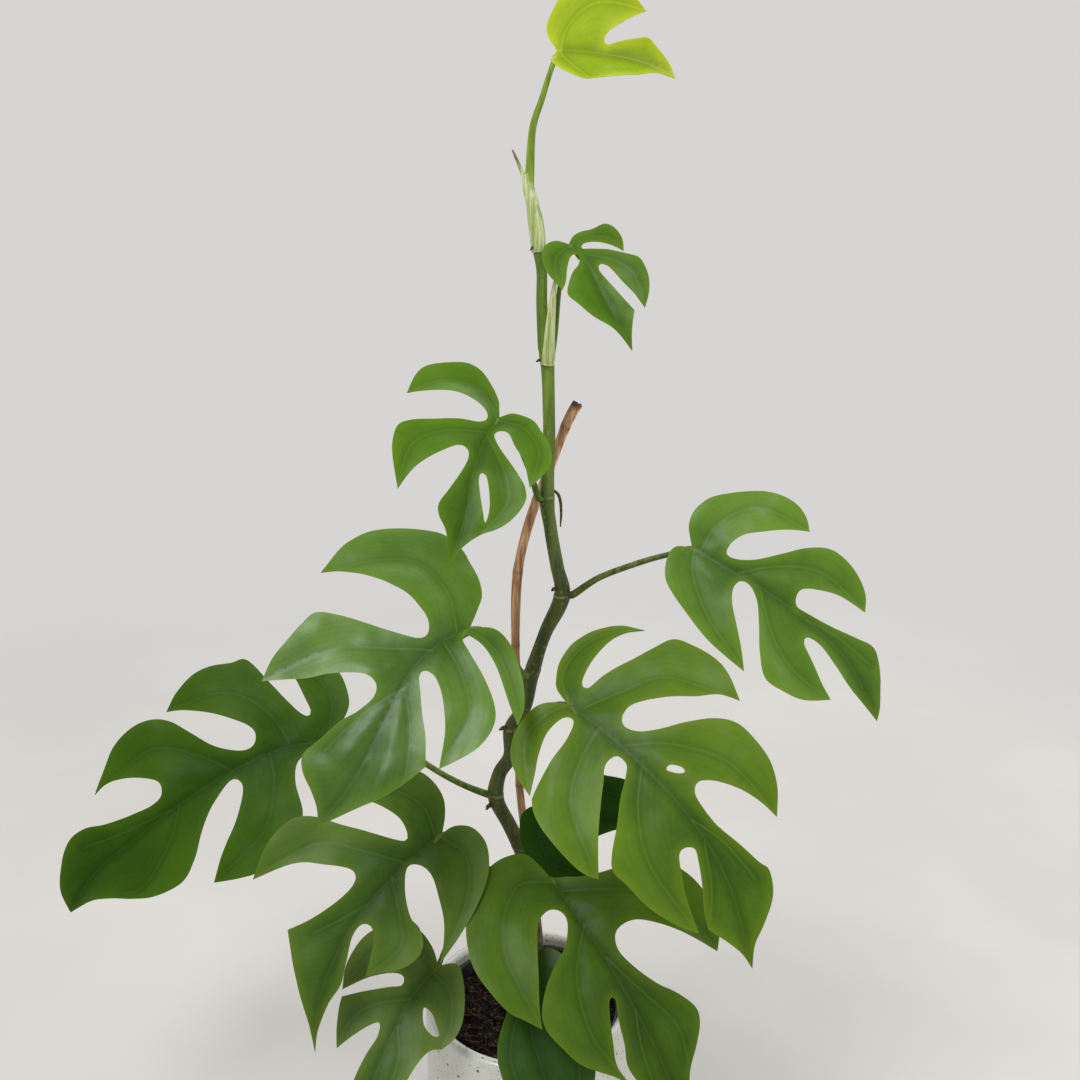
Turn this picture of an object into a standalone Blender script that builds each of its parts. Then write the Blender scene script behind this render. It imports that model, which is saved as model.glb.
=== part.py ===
"""Potted climbing aroid (mini monstera) in a speckled ceramic cover pot.

Frame: metres, +Z up, origin at the centre of the cover pot's underside.
The plant faces -Y.  Every blade is a flat outline in its own plane, laid on a
gently bent surface and given a thickness; stems and stalks are swept tubes.
"""
import math

import bpy
from mathutils import Vector
from mathutils.geometry import delaunay_2d_cdt

MM = 0.001

# ---------------------------------------------------------------- driving sizes
POT_RADIUS = 65.0        # outside of the cover pot
POT_HEIGHT = 120.0
POT_WALL = 7.0           # thick ceramic wall, rounded lip
POT_FLOOR = 7.0
LINER_GAP = 0.6          # clearance between the cover pot and the nursery pot
LINER_WALL = 1.2
LINER_TOP = 114.0        # nursery pot's lip, just below the ceramic lip
SOIL_TOP = 106.0
SOIL_GAP = 0.4
BLADE_THICKNESS = 0.8
PIECE_GAP = 0.4          # clearance where a stalk meets a stem or a blade
EDGE_STEP = 6.5          # spacing of points along a blade's outline
GRID_STEP = 13.0         # spacing of points inside a blade

# ---------------------------------------------------------------- main stem
# (x, y, z, radius) in mm, from just above the soil to the top node
STEM = [(2, 4, 108.6, 4.9), (4, 8, 130, 4.9), (3, 12, 160, 4.8), (0, 16, 190, 4.7),
        (-4, 18, 210, 4.8), (-12, 18, 228, 4.4), (-20, 18, 246, 4.7), (-18, 19, 262, 4.3),
        (-11, 20, 274, 4.3), (-10, 21, 291, 4.6), (-2, 22, 306, 4.2), (2, 23, 326, 4.5),
        (10, 25, 351, 4.0), (20, 27, 374, 4.6), (17, 28, 393, 4.0), (13, 30, 416, 3.9),
        (11, 31, 432, 4.1), (12, 33, 462, 3.6), (12, 34, 482, 3.5), (11, 36, 512, 3.7),
        (9, 37, 523, 3.3), (8, 38, 545, 3.1), (8, 40, 562, 3.0), (6, 41, 575, 3.2)]

# old leafless cane standing beside the stem, bent near its cut end
CANE = [(2, 25, 109.2, 2.9), (0, 26, 160, 2.7), (-2, 28, 208, 2.5), (-6, 31, 248, 2.5),
        (-6, 33, 289, 2.5), (-8, 36, 343, 2.6), (-7, 38, 381, 2.8), (-1, 42, 411, 2.9),
        (7, 44, 435, 2.7), (13, 44.5, 449, 2.5), (20, 44, 468, 2.6), (25, 44, 480, 2.8),
        (30, 43, 489, 2.2), (31, 41, 492, 0.9)]

AERIAL_ROOT = [(16.4, 31, 437, 0.9), (18.6, 31, 433, 0.9), (19.4, 31, 425, 0.8),
               (19, 31.5, 416, 0.4)]

# papery sheaths that wrapped a young leaf: wide at the node, thin at the tip
SHEATH_TOP = [(6, 41, 579, 3.6), (4.5, 41.5, 588, 3.7), (3, 42, 597, 3.2),
              (-0.4, 43, 613.4, 2.6)]
SHEATH_MID = [(10.5, 29.5, 513, 1.6), (11.5, 30, 522, 2.6), (13.4, 31, 536, 2.2),
              (16, 33, 557, 0.7)]
BUD_TIP = [(-2.6, 43, 614.2, 1.1), (-5, 43, 619, 0.9), (-8, 43, 626, 0.4)]

# ---------------------------------------------------------------- leaves
# base, tip: ends of the blade's midrib line; face: the way its upper side looks.
# bow: arch along the midrib; fold: rise of the halves; curl: fall of the lobes.
# edge: outline in mm as "across,along" from the base, "!" marks a sharp point;
# holes: closed windows in the blade.  notch: where the stalk joins.
LEAVES = {
    "leaf_01": dict(
        base=(16, 46, 677), tip=(75, 5, 657), face=(-0.30, -0.73, 0.61), size=1.0,
        bow=4, fold=0.55, curl=0, notch=(0, 0),
        edge="0,0! 4,-6 8,-11 13,-14 18,-13 24,-10 29,-4 33,7 33,22 29,36 24,46! "
             "18,36 12,29 8,28 6,31 8,36 11,45 13,53 11,58 6,68 0,75! -2,64 -10,59 "
             "-18,51 -25,44 -27,38 -26,30 -22,19 -16,10 -8,3"),
    "leaf_02": dict(
        base=(23, 34, 577), tip=(56, -10, 523), face=(-0.16, -0.81, 0.56), size=1.0,
        bow=6, fold=0.25, curl=2, notch=(-0.5, 0.5),
        edge="-0.5,0.5! -5,-5 -11,-5 -16,0 -19,8 -20,17 -18,31! -14,27 -9,18 -4,11 "
             "-1,10 0,14 -3,19 -9,24 -14,30 -17,36 -15,44 -11,54 -4,64 -1,78! 3,70 "
             "10,60! 8,50 6,38 5,29 7,26 10,30 12,42 14,52 15,62! 21,56 25,48 26,38 "
             "23,32 16,22 9,14 4,9 6,6 11,9 16,16 21,27! 24,20 24,10 21,3 15,0 9,-3 "
             "4,-3"),
    "leaf_03": dict(
        base=(-15, 8, 485), tip=(-37, -52, 422), face=(0.08, -0.74, 0.67), size=1.0,
        bow=7, fold=0.20, curl=4, notch=(0, 1),
        edge="0,1! -2,-6 -4,-12 -10,-21 -19,-29 -29,-31 -39,-27 -47,-19 -51,-8 "
             "-51,6! -46,2 -38,-3 -28,-6 -17,-5 -9,-1 -6,5 -9,10 -20,13 -33,19 "
             "-43,25 -48,31 -48,40 -45,50 -37,66! -34,56 -30,48 -22,38 -15,31 "
             "-10,31 -8,36 -9,45 -12,57 -15,67 -13,73 -7,80 -1,94! 3,85 11,76! "
             "18,72 24,65 28,55 26,47 22,42 14,33 6,24 1,16 3,12 8,13 14,22 21,31 "
             "28,46! 33,38 35,30 34,22 30,13 25,7 19,0 11,-3 5,-3",
        holes=["1,43 4,44 8,52 11,62 11,70 8,64 4,55 1,47"]),
    "leaf_04": dict(
        base=(-31, -25, 375), tip=(-105, -96, 292), face=(0.01, -0.77, 0.64), size=1.0,
        bow=12, fold=0.10, curl=9, notch=(1, 2),
        edge="1,2! -2,-8 -6,-18 -14,-26 -25,-33 -33,-37 -46,-39 -57,-36 -70,-28 "
             "-80,-17 -85,-6 -87,5 -85,23! -79,17 -68,12 -52,8 -38,7 -26,10 -18,14 "
             "-14,20 -17,25 -28,29 -44,34 -58,39 -69,45 -71,54 -72,68 -72,78 "
             "-69,90! -60,83 -50,76 -42,68 -33,61 -25,57 -18,58 -15,64 -17,74 "
             "-21,83 -24,95 -27,107 -22,114 -13,119 -6,124 0,131! 6,122 13,112 "
             "20,102 26,88 29,78! 20,66 11,57 3,48 -3,41 -2,37 4,37 12,42 20,50 "
             "27,59 35,75! 40,67 45,57 46,46 43,37 35,29 24,22 12,16 3,11 2,7 6,6 "
             "14,7 25,12 35,19 45,27 55,34! 52,24 45,14 36,6 27,-1 17,-5 9,-4"),
    "leaf_05": dict(
        base=(-138, 42, 275), tip=(-285, 4, 177), face=(-0.17, -0.81, 0.56), size=1.03,
        bow=12, fold=0.12, curl=8, notch=(6, -6),
        edge="6,-6! 4,-14 1,-21 -6,-29 -17,-33 -28,-34 -40,-30 -47,-21 -50,-9! "
             "-38,-10 -25,-9 -15,-8 -13,-5 -18,-2 -30,1 -45,4 -66,9 -70,18 -75,30 "
             "-76,42 -72,56 -66,66! -60,56 -48,43 -36,33 -27,27 -20,26 -15,31 "
             "-17,39 -28,50 -43,58 -58,66 -66,75 -69,88 -66,103 -58,115 -48,128! "
             "-49,118 -44,106 -36,95 -28,88 -21,90 -19,98 -22,112 -28,130 -34,143 "
             "-34,155 -26,166 -14,175 1,177! 5,160 12,147 20,136 28,122 32,103 "
             "25,90 14,80 5,70 -1,60 -4,52 -2,48 4,47 12,52 22,62 33,76 43,87! "
             "50,73 54,60 53,45 46,31 37,24 20,20 10,14 8,7 13,2 25,0 38,3 50,8! "
             "43,-5 33,-14 20,-17 11,-13"),
    "leaf_06": dict(
        base=(-50, -21, 245), tip=(-116, -87, 150), face=(-0.05, -0.81, 0.59), size=0.98,
        bow=10, fold=0.10, curl=7, notch=(0, 0),
        edge="0,0! 3,-6 9,-10 16,-11 25,-8 32,-1 37,9 40,25 40,43 38,61! 34,51 "
             "28,41 19,32 9,24 0,22 -6,25 -5,31 2,41 11,49 18,51 25,58 25,67 19,76 "
             "11,82 5,88! 2,78 -2,68 -7,64 -12,66 -13,74 -9,86 -5,98 -6,110 -4,126 "
             "0,136! -9,126 -20,116 -34,103 -47,89! -39,78 -32,65 -28,53 -29,46 "
             "-35,44 -48,49 -64,57 -81,77! -84,62 -84,48 -79,36 -68,29 -55,26 "
             "-40,22 -24,18 -16,15 -17,11 -25,6 -35,5 -46,6 -56,9 -66,17! -62,2 "
             "-54,-12 -42,-21 -30,-24 -19,-22 -10,-17 -4,-9"),
    "leaf_07": dict(
        base=(-54, -34, 161), tip=(-98, -89, 114), face=(0.08, -0.67, 0.73), size=1.05,
        bow=5, fold=0.10, curl=4, notch=(-1, -3),
        edge="-1,-3! 4,-8 9,-9 15,-4 22,5 27,15 28,24 25,32! 20,36 18,45 18,56 "
             "19,68 16,81 8,96! -1,84 -6,70 -8,56 -8,45 -11,39 -15,43 -20,53 "
             "-23,61! -29,53 -34,44 -36,39! -28,31 -18,22 -12,17 -14,13 -20,15 "
             "-30,24 -38,36! -44,24 -45,8 -39,-4 -30,-12 -20,-13 -9,-9",
        holes=["5,20 10,20 15,23 20,27 17,29 10,27"]),
    "leaf_08": dict(
        base=(94, 17, 408), tip=(196, -24, 318), face=(0.01, -0.90, 0.43), size=1.0,
        bow=10, fold=0.14, curl=7, notch=(0, 1),
        edge="0,1! -5,-5 -11,-6 -18,-3 -25,3 -29,12 -32,25 -35,42 -35,55 -34,69! "
             "-27,61 -18,49 -10,39 -3,34 3,34 5,39 1,48 -9,58 -20,68 -29,80 -27,92 "
             "-22,104 -11,115! -8,105 -3,92 1,83 5,82 7,90 5,103 2,117 1,128 "
             "0,143! 6,139 15,130 23,121 27,112 24,102 19,88 15,73 14,66 18,62 "
             "23,62 29,69 35,80 38,96! 45,90 50,80 52,68 50,57 42,48 30,40 18,32 "
             "11,24 10,18 16,16 25,18 35,26 44,34 51,43! 56,36 58,26 55,14 48,4 "
             "38,-5 28,-11 17,-12 8,-8"),
    "leaf_09": dict(
        base=(23, -43, 338), tip=(110, -130, 236), face=(-0.04, -0.78, 0.63), size=1.0,
        bow=14, fold=0.10, curl=10, notch=(-2, 1),
        edge="-2,1! -2,-9 1,-15 8,-23 18,-28 27,-29 38,-27 50,-21 58,-12! 50,-16 "
             "40,-17 28,-14 17,-9 11,-4 12,0 25,-1 45,1 64,3 72,12 77,25 77,37 "
             "73,52! 66,43 55,37 44,30 32,24 24,22 17,25 15,30 19,36 28,41 42,46 "
             "56,53 64,62 66,75 65,88 60,100 52,110! 50,101 45,90 37,80 29,75 24,78 "
             "23,86 24,97 28,110 31,122 33,128 28,138 17,146 7,152 0,160! -1,150 "
             "-8,134! -5,126 1,116 6,106 8,100 4,97 0,98 -4,105 -9,117 -13,133! "
             "-20,124 -27,110 -30,96 -32,87 -28,80 -18,70 -9,60 0,52 4,47 3,41 "
             "-1,40 -6,42 -11,48 -18,56 -27,67 -34,77 -40,86! -45,79 -48,68 -50,52 "
             "-49,41 -46,34! -40,30 -28,24 -15,19 -7,14 -5,10 -9,7 -20,9 -30,16 "
             "-38,24 -46,32! -46,20 -43,8 -35,-1 -25,-6 -16,-7 -8,-4",
        holes=["19,61 22,60 26,64 26,67 23,66"]),
    "leaf_10": dict(
        base=(21, -41, 221), tip=(75, -113, 127), face=(0.09, -0.76, 0.64), size=1.0,
        bow=12, fold=0.12, curl=8, notch=(-4, -9),
        edge="-4,-9! -7,-18 -12,-27 -22,-30 -33,-29 -46,-22 -56,-10 -62,4 -64,18 "
             "-61,32 -56,45 -50,52 -43,60! -40,50 -34,36 -28,22 -22,11 -14,7 -8,10 "
             "-7,17 -14,28 -24,35 -33,43 -40,53 -41,62 -37,73 -32,83 -25,90 -17,97 "
             "-10,106! -13,98 -14,91 -11,80 -8,70 -4,62 -1,63 -4,73 -6,84 -9,95 "
             "-6,107 -1,119 8,138! 14,126 20,113 29,102 36,92 37,84 31,74 23,65 "
             "16,53 12,42 14,34 20,31 29,32 39,39 51,51 62,65! 69,54 71,40 68,25 "
             "61,14 50,7 38,3 25,1 12,-2 3,-6"),
    "leaf_11": dict(
        base=(12, 2, 254), tip=(84, -10, 213), face=(-0.25, -0.80, 0.55), size=1.0,
        bow=5, fold=0.08, curl=3, notch=(-4, 2),
        edge="-4,2! -8,-6 -16,-9 -25,-5 -31,1 -36,10 -38,20 -36,28 -31,38 -24,50! "
             "-20,40 -15,33 -9,32 -3,36 4,42 12,51 24,68! 31,58 35,46 34,34 29,20 "
             "23,8 14,-1 5,-3"),
    "leaf_12": dict(
        base=(1, -70, 167), tip=(18, -109, 107), face=(0.03, -0.83, 0.56), size=1.0,
        bow=6, fold=0.12, curl=4, notch=(0, -8),
        edge="0,-8! -5,-9 -10,-4 -15,4 -20,12 -23,22 -22,34 -18,48 -9,60 4,72! "
             "15,62 24,48 29,34 31,18 31,2 29,-11 23,-22 15,-26 8,-22 3,-15"),
}

# stalks: radius at the stem, radius at the blade, points in mm from the node on;
# the last stretch runs to the blade's notch from behind
STALKS = {
    "leaf_01": (1.5, 1.0, [(1.4, 43.2, 614.8), (3, 43, 637), (8, 43.5, 652), (13, 45, 667)]),
    "leaf_02": (1.4, 1.1, [(16.9, 33.5, 517), (18.5, 34, 535), (19.6, 35.5, 555),
                           (21, 37, 568)]),
    "leaf_03": (1.8, 1.4, [(6.2, 27.4, 434), (1, 23, 451), (-8, 17, 473)]),
    "leaf_04": (2.2, 1.7, [(-3.8, 18.6, 328), (-12, 10, 345), (-24, -6, 364)]),
    "leaf_05": (2.0, 1.7, [(-26, 18.2, 249), (-42, 20, 255), (-62, 26, 264),
                           (-98, 47, 279)]),
    "leaf_06": (2.0, 1.6, [(-4.8, 11.5, 182), (-20, 6, 200), (-40, -8, 227)]),
    "leaf_07": (1.6, 1.2, [(-3.2, 7.2, 152), (-20, 0, 176), (-37, -6, 184),
                           (-47, -13, 172)]),
    "leaf_08": (2.0, 1.5, [(26.2, 26.4, 375.5), (42, 24, 387), (65, 21, 397),
                           (81, 20, 402)]),
    "leaf_09": (2.4, 1.8, [(-6.4, 15.2, 292), (3, 2, 302), (14, -22, 325)]),
    "leaf_10": (2.2, 1.8, [(2.5, 7.8, 176), (7, -8, 197), (11, -28, 214)]),
    "leaf_11": (1.6, 1.3, [(2.3, 16.4, 213), (7, 13, 226), (11, 9, 242)]),
    "leaf_12": (1.6, 1.3, [(2.6, 0.4, 124), (2, -28, 150), (1, -54, 163)]),
}

COLOURS = {
    "ceramic": (0.80, 0.80, 0.77), "liner": (0.05, 0.06, 0.05), "soil": (0.035, 0.025, 0.02),
    "stem": (0.10, 0.16, 0.05), "stalk": (0.15, 0.25, 0.06), "dry": (0.42, 0.24, 0.13),
    "sheath": (0.55, 0.60, 0.32), "root": (0.12, 0.10, 0.06), "leaf": (0.10, 0.22, 0.03),
    "young_leaf": (0.38, 0.52, 0.05),
}


def material(key):
    """One plain surface per kind of piece."""
    mat = bpy.data.materials.get(key)
    if mat is None:
        mat = bpy.data.materials.new(key)
        mat.use_nodes = True
        shader = mat.node_tree.nodes["Principled BSDF"]
        shader.inputs["Base Color"].default_value = (*COLOURS[key], 1.0)
        rough = {"soil": 0.95, "dry": 0.8, "ceramic": 0.35}.get(key, 0.45)
        shader.inputs["Roughness"].default_value = rough
    return mat


def add_object(name, verts_mm, faces, key):
    """A closed mesh object, given in mm, with outward faces and smooth shading."""
    mesh = bpy.data.meshes.new(name)
    mesh.from_pydata([Vector(v) * MM for v in verts_mm], [], faces)
    mesh.validate()
    mesh.update()
    for polygon in mesh.polygons:
        polygon.use_smooth = True
    mesh.materials.append(material(key))
    obj = bpy.data.objects.new(name, mesh)
    bpy.context.scene.collection.objects.link(obj)
    return obj


def spline(points, step, closed=False):
    """Catmull-Rom curve through the points, sampled about every `step`."""
    count = len(points)
    result = []
    for i in range(count if closed else count - 1):
        p1 = points[i]
        p2 = points[(i + 1) % count]
        p0 = points[i - 1] if (closed or i > 0) else p1
        p3 = points[(i + 2) % count] if (closed or i + 2 < count) else p2
        pieces = max(1, round((p2.xyz - p1.xyz).length / step))
        for j in range(pieces):
            t = j / pieces
            result.append(0.5 * (2 * p1 + (p2 - p0) * t
                                 + (2 * p0 - 5 * p1 + 4 * p2 - p3) * t * t
                                 + (3 * p1 - p0 - 3 * p2 + p3) * t ** 3))
    if not closed:
        result.append(points[-1].copy())
    return result


def tube(name, stations, key, sides=10, step=14.0, flat=1.0):
    """Round rod swept along stations (x, y, z, radius), closed at both ends."""
    path = spline([Vector(s) for s in stations], step)
    verts = []
    faces = []
    side = None
    for i, node in enumerate(path):
        ahead = path[min(i + 1, len(path) - 1)].xyz
        behind = path[max(i - 1, 0)].xyz
        tangent = (ahead - behind).normalized()
        if side is None:
            side = tangent.cross(Vector((0, -1, 0))).normalized()
        side = (side - tangent * side.dot(tangent)).normalized()
        other = tangent.cross(side)
        for k in range(sides):
            angle = 2 * math.pi * k / sides
            offset = side * math.cos(angle) + other * (math.sin(angle) * flat)
            verts.append(node.xyz + offset * node.w)
    rings = len(path)
    for i in range(rings - 1):
        for k in range(sides):
            n = (k + 1) % sides
            faces.append((i * sides + k, i * sides + n, (i + 1) * sides + n,
                          (i + 1) * sides + k))
    faces.append(tuple(reversed(range(sides))))
    faces.append(tuple((rings - 1) * sides + k for k in range(sides)))
    return add_object(name, verts, faces, key)


def revolve(name, profile, key, sides=48):
    """Solid of revolution about Z; profile runs (r, z) from axis to axis."""
    verts = [(0, 0, profile[0][1])]
    faces = []
    rings = profile[1:-1]
    for r, z in rings:
        for k in range(sides):
            angle = 2 * math.pi * k / sides
            verts.append((r * math.cos(angle), r * math.sin(angle), z))
    verts.append((0, 0, profile[-1][1]))
    last = len(verts) - 1
    for k in range(sides):
        n = (k + 1) % sides
        faces.append((0, 1 + n, 1 + k))
        for i in range(len(rings) - 1):
            a = 1 + i * sides
            b = a + sides
            faces.append((a + k, a + n, b + n, b + k))
        top = 1 + (len(rings) - 1) * sides
        faces.append((top + k, top + n, last))
    return add_object(name, verts, faces, key)


def arc(cx, cz, radius, start, end, pieces):
    """Points of an arc in a profile, angles in degrees."""
    return [(cx + radius * math.cos(math.radians(start + (end - start) * i / pieces)),
             cz + radius * math.sin(math.radians(start + (end - start) * i / pieces)))
            for i in range(pieces + 1)]


def read_outline(text, step):
    """Outline text to a closed list of (across, along): curves between sharp points."""
    items = text.split()
    points = [Vector([float(c) for c in item.strip("!").split(",")] + [0.0])
              for item in items]
    sharp = [i for i, item in enumerate(items) if item.endswith("!")]
    if not sharp:
        return [(p.x, p.y) for p in spline(points, step, closed=True)]
    result = []
    for a, b in zip(sharp, sharp[1:] + [sharp[0] + len(points)]):
        run = [points[i % len(points)] for i in range(a, b + 1)]
        result += [(p.x, p.y) for p in spline(run, step)[:-1]]
    return result


def inside(x, y, loop):
    """Even-odd test of a point against a closed loop."""
    hit = False
    for (x1, y1), (x2, y2) in zip(loop, loop[1:] + loop[:1]):
        if (y1 > y) != (y2 > y) and x < (x2 - x1) * (y - y1) / (y2 - y1) + x1:
            hit = not hit
    return hit


class BladeFrame:
    """Plane of a blade and the bent surface its outline lies on."""

    def __init__(self, leaf):
        self.origin = Vector(leaf["base"])
        along = Vector(leaf["tip"]) - self.origin
        self.length = along.length / leaf["size"]
        self.along = along.normalized()
        face = Vector(leaf["face"])
        self.normal = (face - self.along * face.dot(self.along)).normalized()
        self.across = self.normal.cross(self.along)
        self.leaf = leaf

    def height(self, u, v):
        leaf = self.leaf
        t = v / self.length
        arch = leaf["bow"] * 4 * t * (1 - t)
        if t < 0:
            arch /= 1 - t
        rise = leaf["fold"] * (math.sqrt(u * u + 36) - 6)
        fall = leaf["curl"] * (u / 60) ** 2 / (1 + abs(u) / 90)
        return arch + rise - fall

    def point(self, u, v, lift=0.0):
        slope_u = (self.height(u + 0.5, v) - self.height(u - 0.5, v))
        slope_v = (self.height(u, v + 0.5) - self.height(u, v - 0.5))
        tilt = Vector((-slope_u, -slope_v, 1)).normalized() * lift
        w = self.height(u, v) + tilt.z
        return self.origin + self.leaf["size"] * (
            self.across * (u + tilt.x) + self.along * (v + tilt.y) + self.normal * w)


def blade(name, leaf):
    """Thin closed leaf blade: triangulated outline, front and back skins, edge band."""
    loops = [read_outline(leaf["edge"], EDGE_STEP)]
    loops += [read_outline(h, EDGE_STEP) for h in leaf.get("holes", [])]
    flat = []
    edges = []
    for loop in loops:
        first = len(flat)
        flat += loop
        edges += [(first + i, first + (i + 1) % len(loop)) for i in range(len(loop))]
    rim = len(flat)
    us = [p[0] for p in loops[0]]
    vs = [p[1] for p in loops[0]]
    row = 0
    v = min(vs)
    while v < max(vs):
        u = math.floor(min(us) / GRID_STEP) * GRID_STEP + (row % 2) * GRID_STEP / 2
        while u < max(us):
            clear = min(math.hypot(u - a, v - b) for a, b in flat[:rim])
            if clear > GRID_STEP * 0.45 and sum(inside(u, v, lp) for lp in loops) == 1:
                flat.append((u, v))
            u += GRID_STEP
        v += GRID_STEP * 0.866
        row += 1
    out = delaunay_2d_cdt([Vector(p) for p in flat], edges, [], 0, 1e-5)
    points = [(p.x, p.y) for p in out[0]]
    skin = []
    for tri in out[2]:
        cu = sum(points[i][0] for i in tri) / 3
        cv = sum(points[i][1] for i in tri) / 3
        if inside(cu, cv, loops[0]) and not any(inside(cu, cv, h) for h in loops[1:]):
            skin.append(tuple(tri))
    frame = BladeFrame(leaf)
    half = BLADE_THICKNESS / 2 / leaf["size"]
    count = len(points)
    verts = [frame.point(u, v, half) for u, v in points]
    verts += [frame.point(u, v, -half) for u, v in points]
    # across x along points to the back, so a counter-clockwise triangle is a back one
    faces = [tuple(reversed(t)) for t in skin]
    faces += [tuple(i + count for i in t) for t in skin]
    border = {}
    for a, b, c in skin:
        for e in ((a, b), (b, c), (c, a)):
            border[e] = border.get(e, 0) + 1
    for a, b in border:
        if (b, a) not in border:
            faces.append((a, b, b + count, a + count))
    return add_object(name, verts, faces, leaf.get("key", "leaf"))


def stalk(name, leaf, spec):
    """Leaf stalk from its node to just behind the blade's notch."""
    start, end, points = spec
    frame = BladeFrame(leaf)
    u, v = leaf["notch"]
    lift = -(BLADE_THICKNESS / 2 + PIECE_GAP + end) / leaf["size"]
    goal = frame.point(u, v - 0.5, lift)
    chain = [Vector(p) for p in points] + [goal]
    last = len(chain) - 1
    stations = [(*p, start + (end - start) * i / last) for i, p in enumerate(chain)]
    return tube(name, stations, "stalk", sides=8, step=16.0)


def build_pot():
    """Straight cylindrical cover pot with a rounded lip and a plain flat foot."""
    r = POT_RADIUS
    inner = r - POT_WALL
    lip = POT_WALL / 2
    profile = [(0, 0), (r - 4, 0)] + arc(r - 4, 4, 4, -90, 0, 3)[1:]
    profile += arc(r - lip, POT_HEIGHT - lip, lip, 0, 180, 6)
    profile += arc(inner - 5, POT_FLOOR + 5, 5, 0, -90, 3) + [(0, POT_FLOOR)]
    revolve("cover_pot", profile, "ceramic")


def build_liner():
    """Thin nursery pot standing inside the cover pot, slightly tapered, thick lip."""
    outer = POT_RADIUS - POT_WALL - LINER_GAP
    foot = outer - 9
    floor = POT_FLOOR + 0.5
    w = LINER_WALL
    profile = [(0, floor), (foot, floor), (outer - 1.2, LINER_TOP - 6),
               (outer, LINER_TOP - 5.5), (outer, LINER_TOP - 0.5), (outer - 0.6, LINER_TOP),
               (outer - w - 0.4, LINER_TOP), (outer - w - 1.0, LINER_TOP - 6),
               (foot - w, floor + w), (0, floor + w)]
    revolve("nursery_pot", profile, "liner")


def build_soil():
    """Potting soil filling the nursery pot, lumpy on top and a little domed."""
    outer = POT_RADIUS - POT_WALL - LINER_GAP - LINER_WALL - 1.0 - SOIL_GAP - 0.4
    foot = POT_RADIUS - POT_WALL - LINER_GAP - 9 - LINER_WALL - SOIL_GAP - 0.6
    floor = POT_FLOOR + 0.5 + LINER_WALL + SOIL_GAP
    sides = 48
    verts = [(0, 0, floor)]
    rings = [(foot, floor)] + [(outer, SOIL_TOP - 3)]
    rings += [(outer * (1 - i / 7), SOIL_TOP) for i in range(1, 7)]
    for i, (r, z) in enumerate(rings):
        for k in range(sides):
            angle = 2 * math.pi * k / sides
            x = r * math.cos(angle)
            y = r * math.sin(angle)
            lump = 0.0
            if i >= 2:
                near = min(1.0, math.hypot(x - 2, y - 12) / 22)
                lump = (1.1 * math.sin(0.31 * x + 1.3) * math.cos(0.27 * y)
                        + 0.8 * math.sin(0.55 * y + 0.4 * x)) * near - 0.3
            verts.append((x, y, z + lump))
    verts.append((0, 0, SOIL_TOP - 0.3))
    faces = []
    last = len(verts) - 1
    for k in range(sides):
        n = (k + 1) % sides
        faces.append((0, 1 + n, 1 + k))
        for i in range(len(rings) - 1):
            a = 1 + i * sides
            b = a + sides
            faces.append((a + k, a + n, b + n, b + k))
        top = 1 + (len(rings) - 1) * sides
        faces.append((top + k, top + n, last))
    add_object("soil", verts, faces, "soil")


def build():
    for obj in list(bpy.data.objects):
        bpy.data.objects.remove(obj, do_unlink=True)
    build_pot()
    build_liner()
    build_soil()
    tube("main_stem", STEM, "stem", sides=12, step=12.0)
    tube("dry_cane", CANE, "dry", sides=8, step=18.0)
    tube("aerial_root", AERIAL_ROOT, "root", sides=6, step=8.0)
    tube("sheath_top", SHEATH_TOP, "sheath", sides=10, step=12.0, flat=0.8)
    tube("sheath_mid", SHEATH_MID, "sheath", sides=8, step=12.0, flat=0.6)
    tube("bud_tip", BUD_TIP, "root", sides=6, step=8.0)
    LEAVES["leaf_01"]["key"] = "young_leaf"
    for name, leaf in LEAVES.items():
        blade(name, leaf)
        stalk(name.replace("leaf", "stalk"), leaf, STALKS[name])


build()
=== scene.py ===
"""Potted mini monstera: twelve slit leaves on one climbing stem, in a speckled pot.

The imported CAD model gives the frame.  Every visible piece is rebuilt finer in its
place: blades with veins and thin edges, stalks that join stem and blade, a ringed
stem, curled sheaths, a streaked cane, crumbly soil and a glazed pot.
Tables are in millimetres, as the CAD model was drawn; objects are in metres.
"""
from math import cos, exp, hypot, pi, radians, sin, sqrt

import bpy
import numpy as np
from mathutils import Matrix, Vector, noise
from mathutils.geometry import delaunay_2d_cdt
from mathutils.kdtree import KDTree


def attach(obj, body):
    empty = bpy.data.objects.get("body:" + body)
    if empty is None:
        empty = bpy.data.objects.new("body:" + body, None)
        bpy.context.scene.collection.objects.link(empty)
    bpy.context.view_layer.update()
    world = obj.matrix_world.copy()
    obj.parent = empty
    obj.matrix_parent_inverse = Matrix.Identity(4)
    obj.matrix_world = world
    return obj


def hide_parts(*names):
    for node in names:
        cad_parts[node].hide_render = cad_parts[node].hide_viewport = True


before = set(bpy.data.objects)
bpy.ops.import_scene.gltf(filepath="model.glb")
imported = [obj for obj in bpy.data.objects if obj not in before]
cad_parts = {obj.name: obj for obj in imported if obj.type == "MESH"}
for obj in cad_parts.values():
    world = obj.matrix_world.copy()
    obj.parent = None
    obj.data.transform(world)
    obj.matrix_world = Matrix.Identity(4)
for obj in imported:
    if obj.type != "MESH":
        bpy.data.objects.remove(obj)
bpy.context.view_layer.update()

MM = 0.001
TURN = 2 * pi

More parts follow.
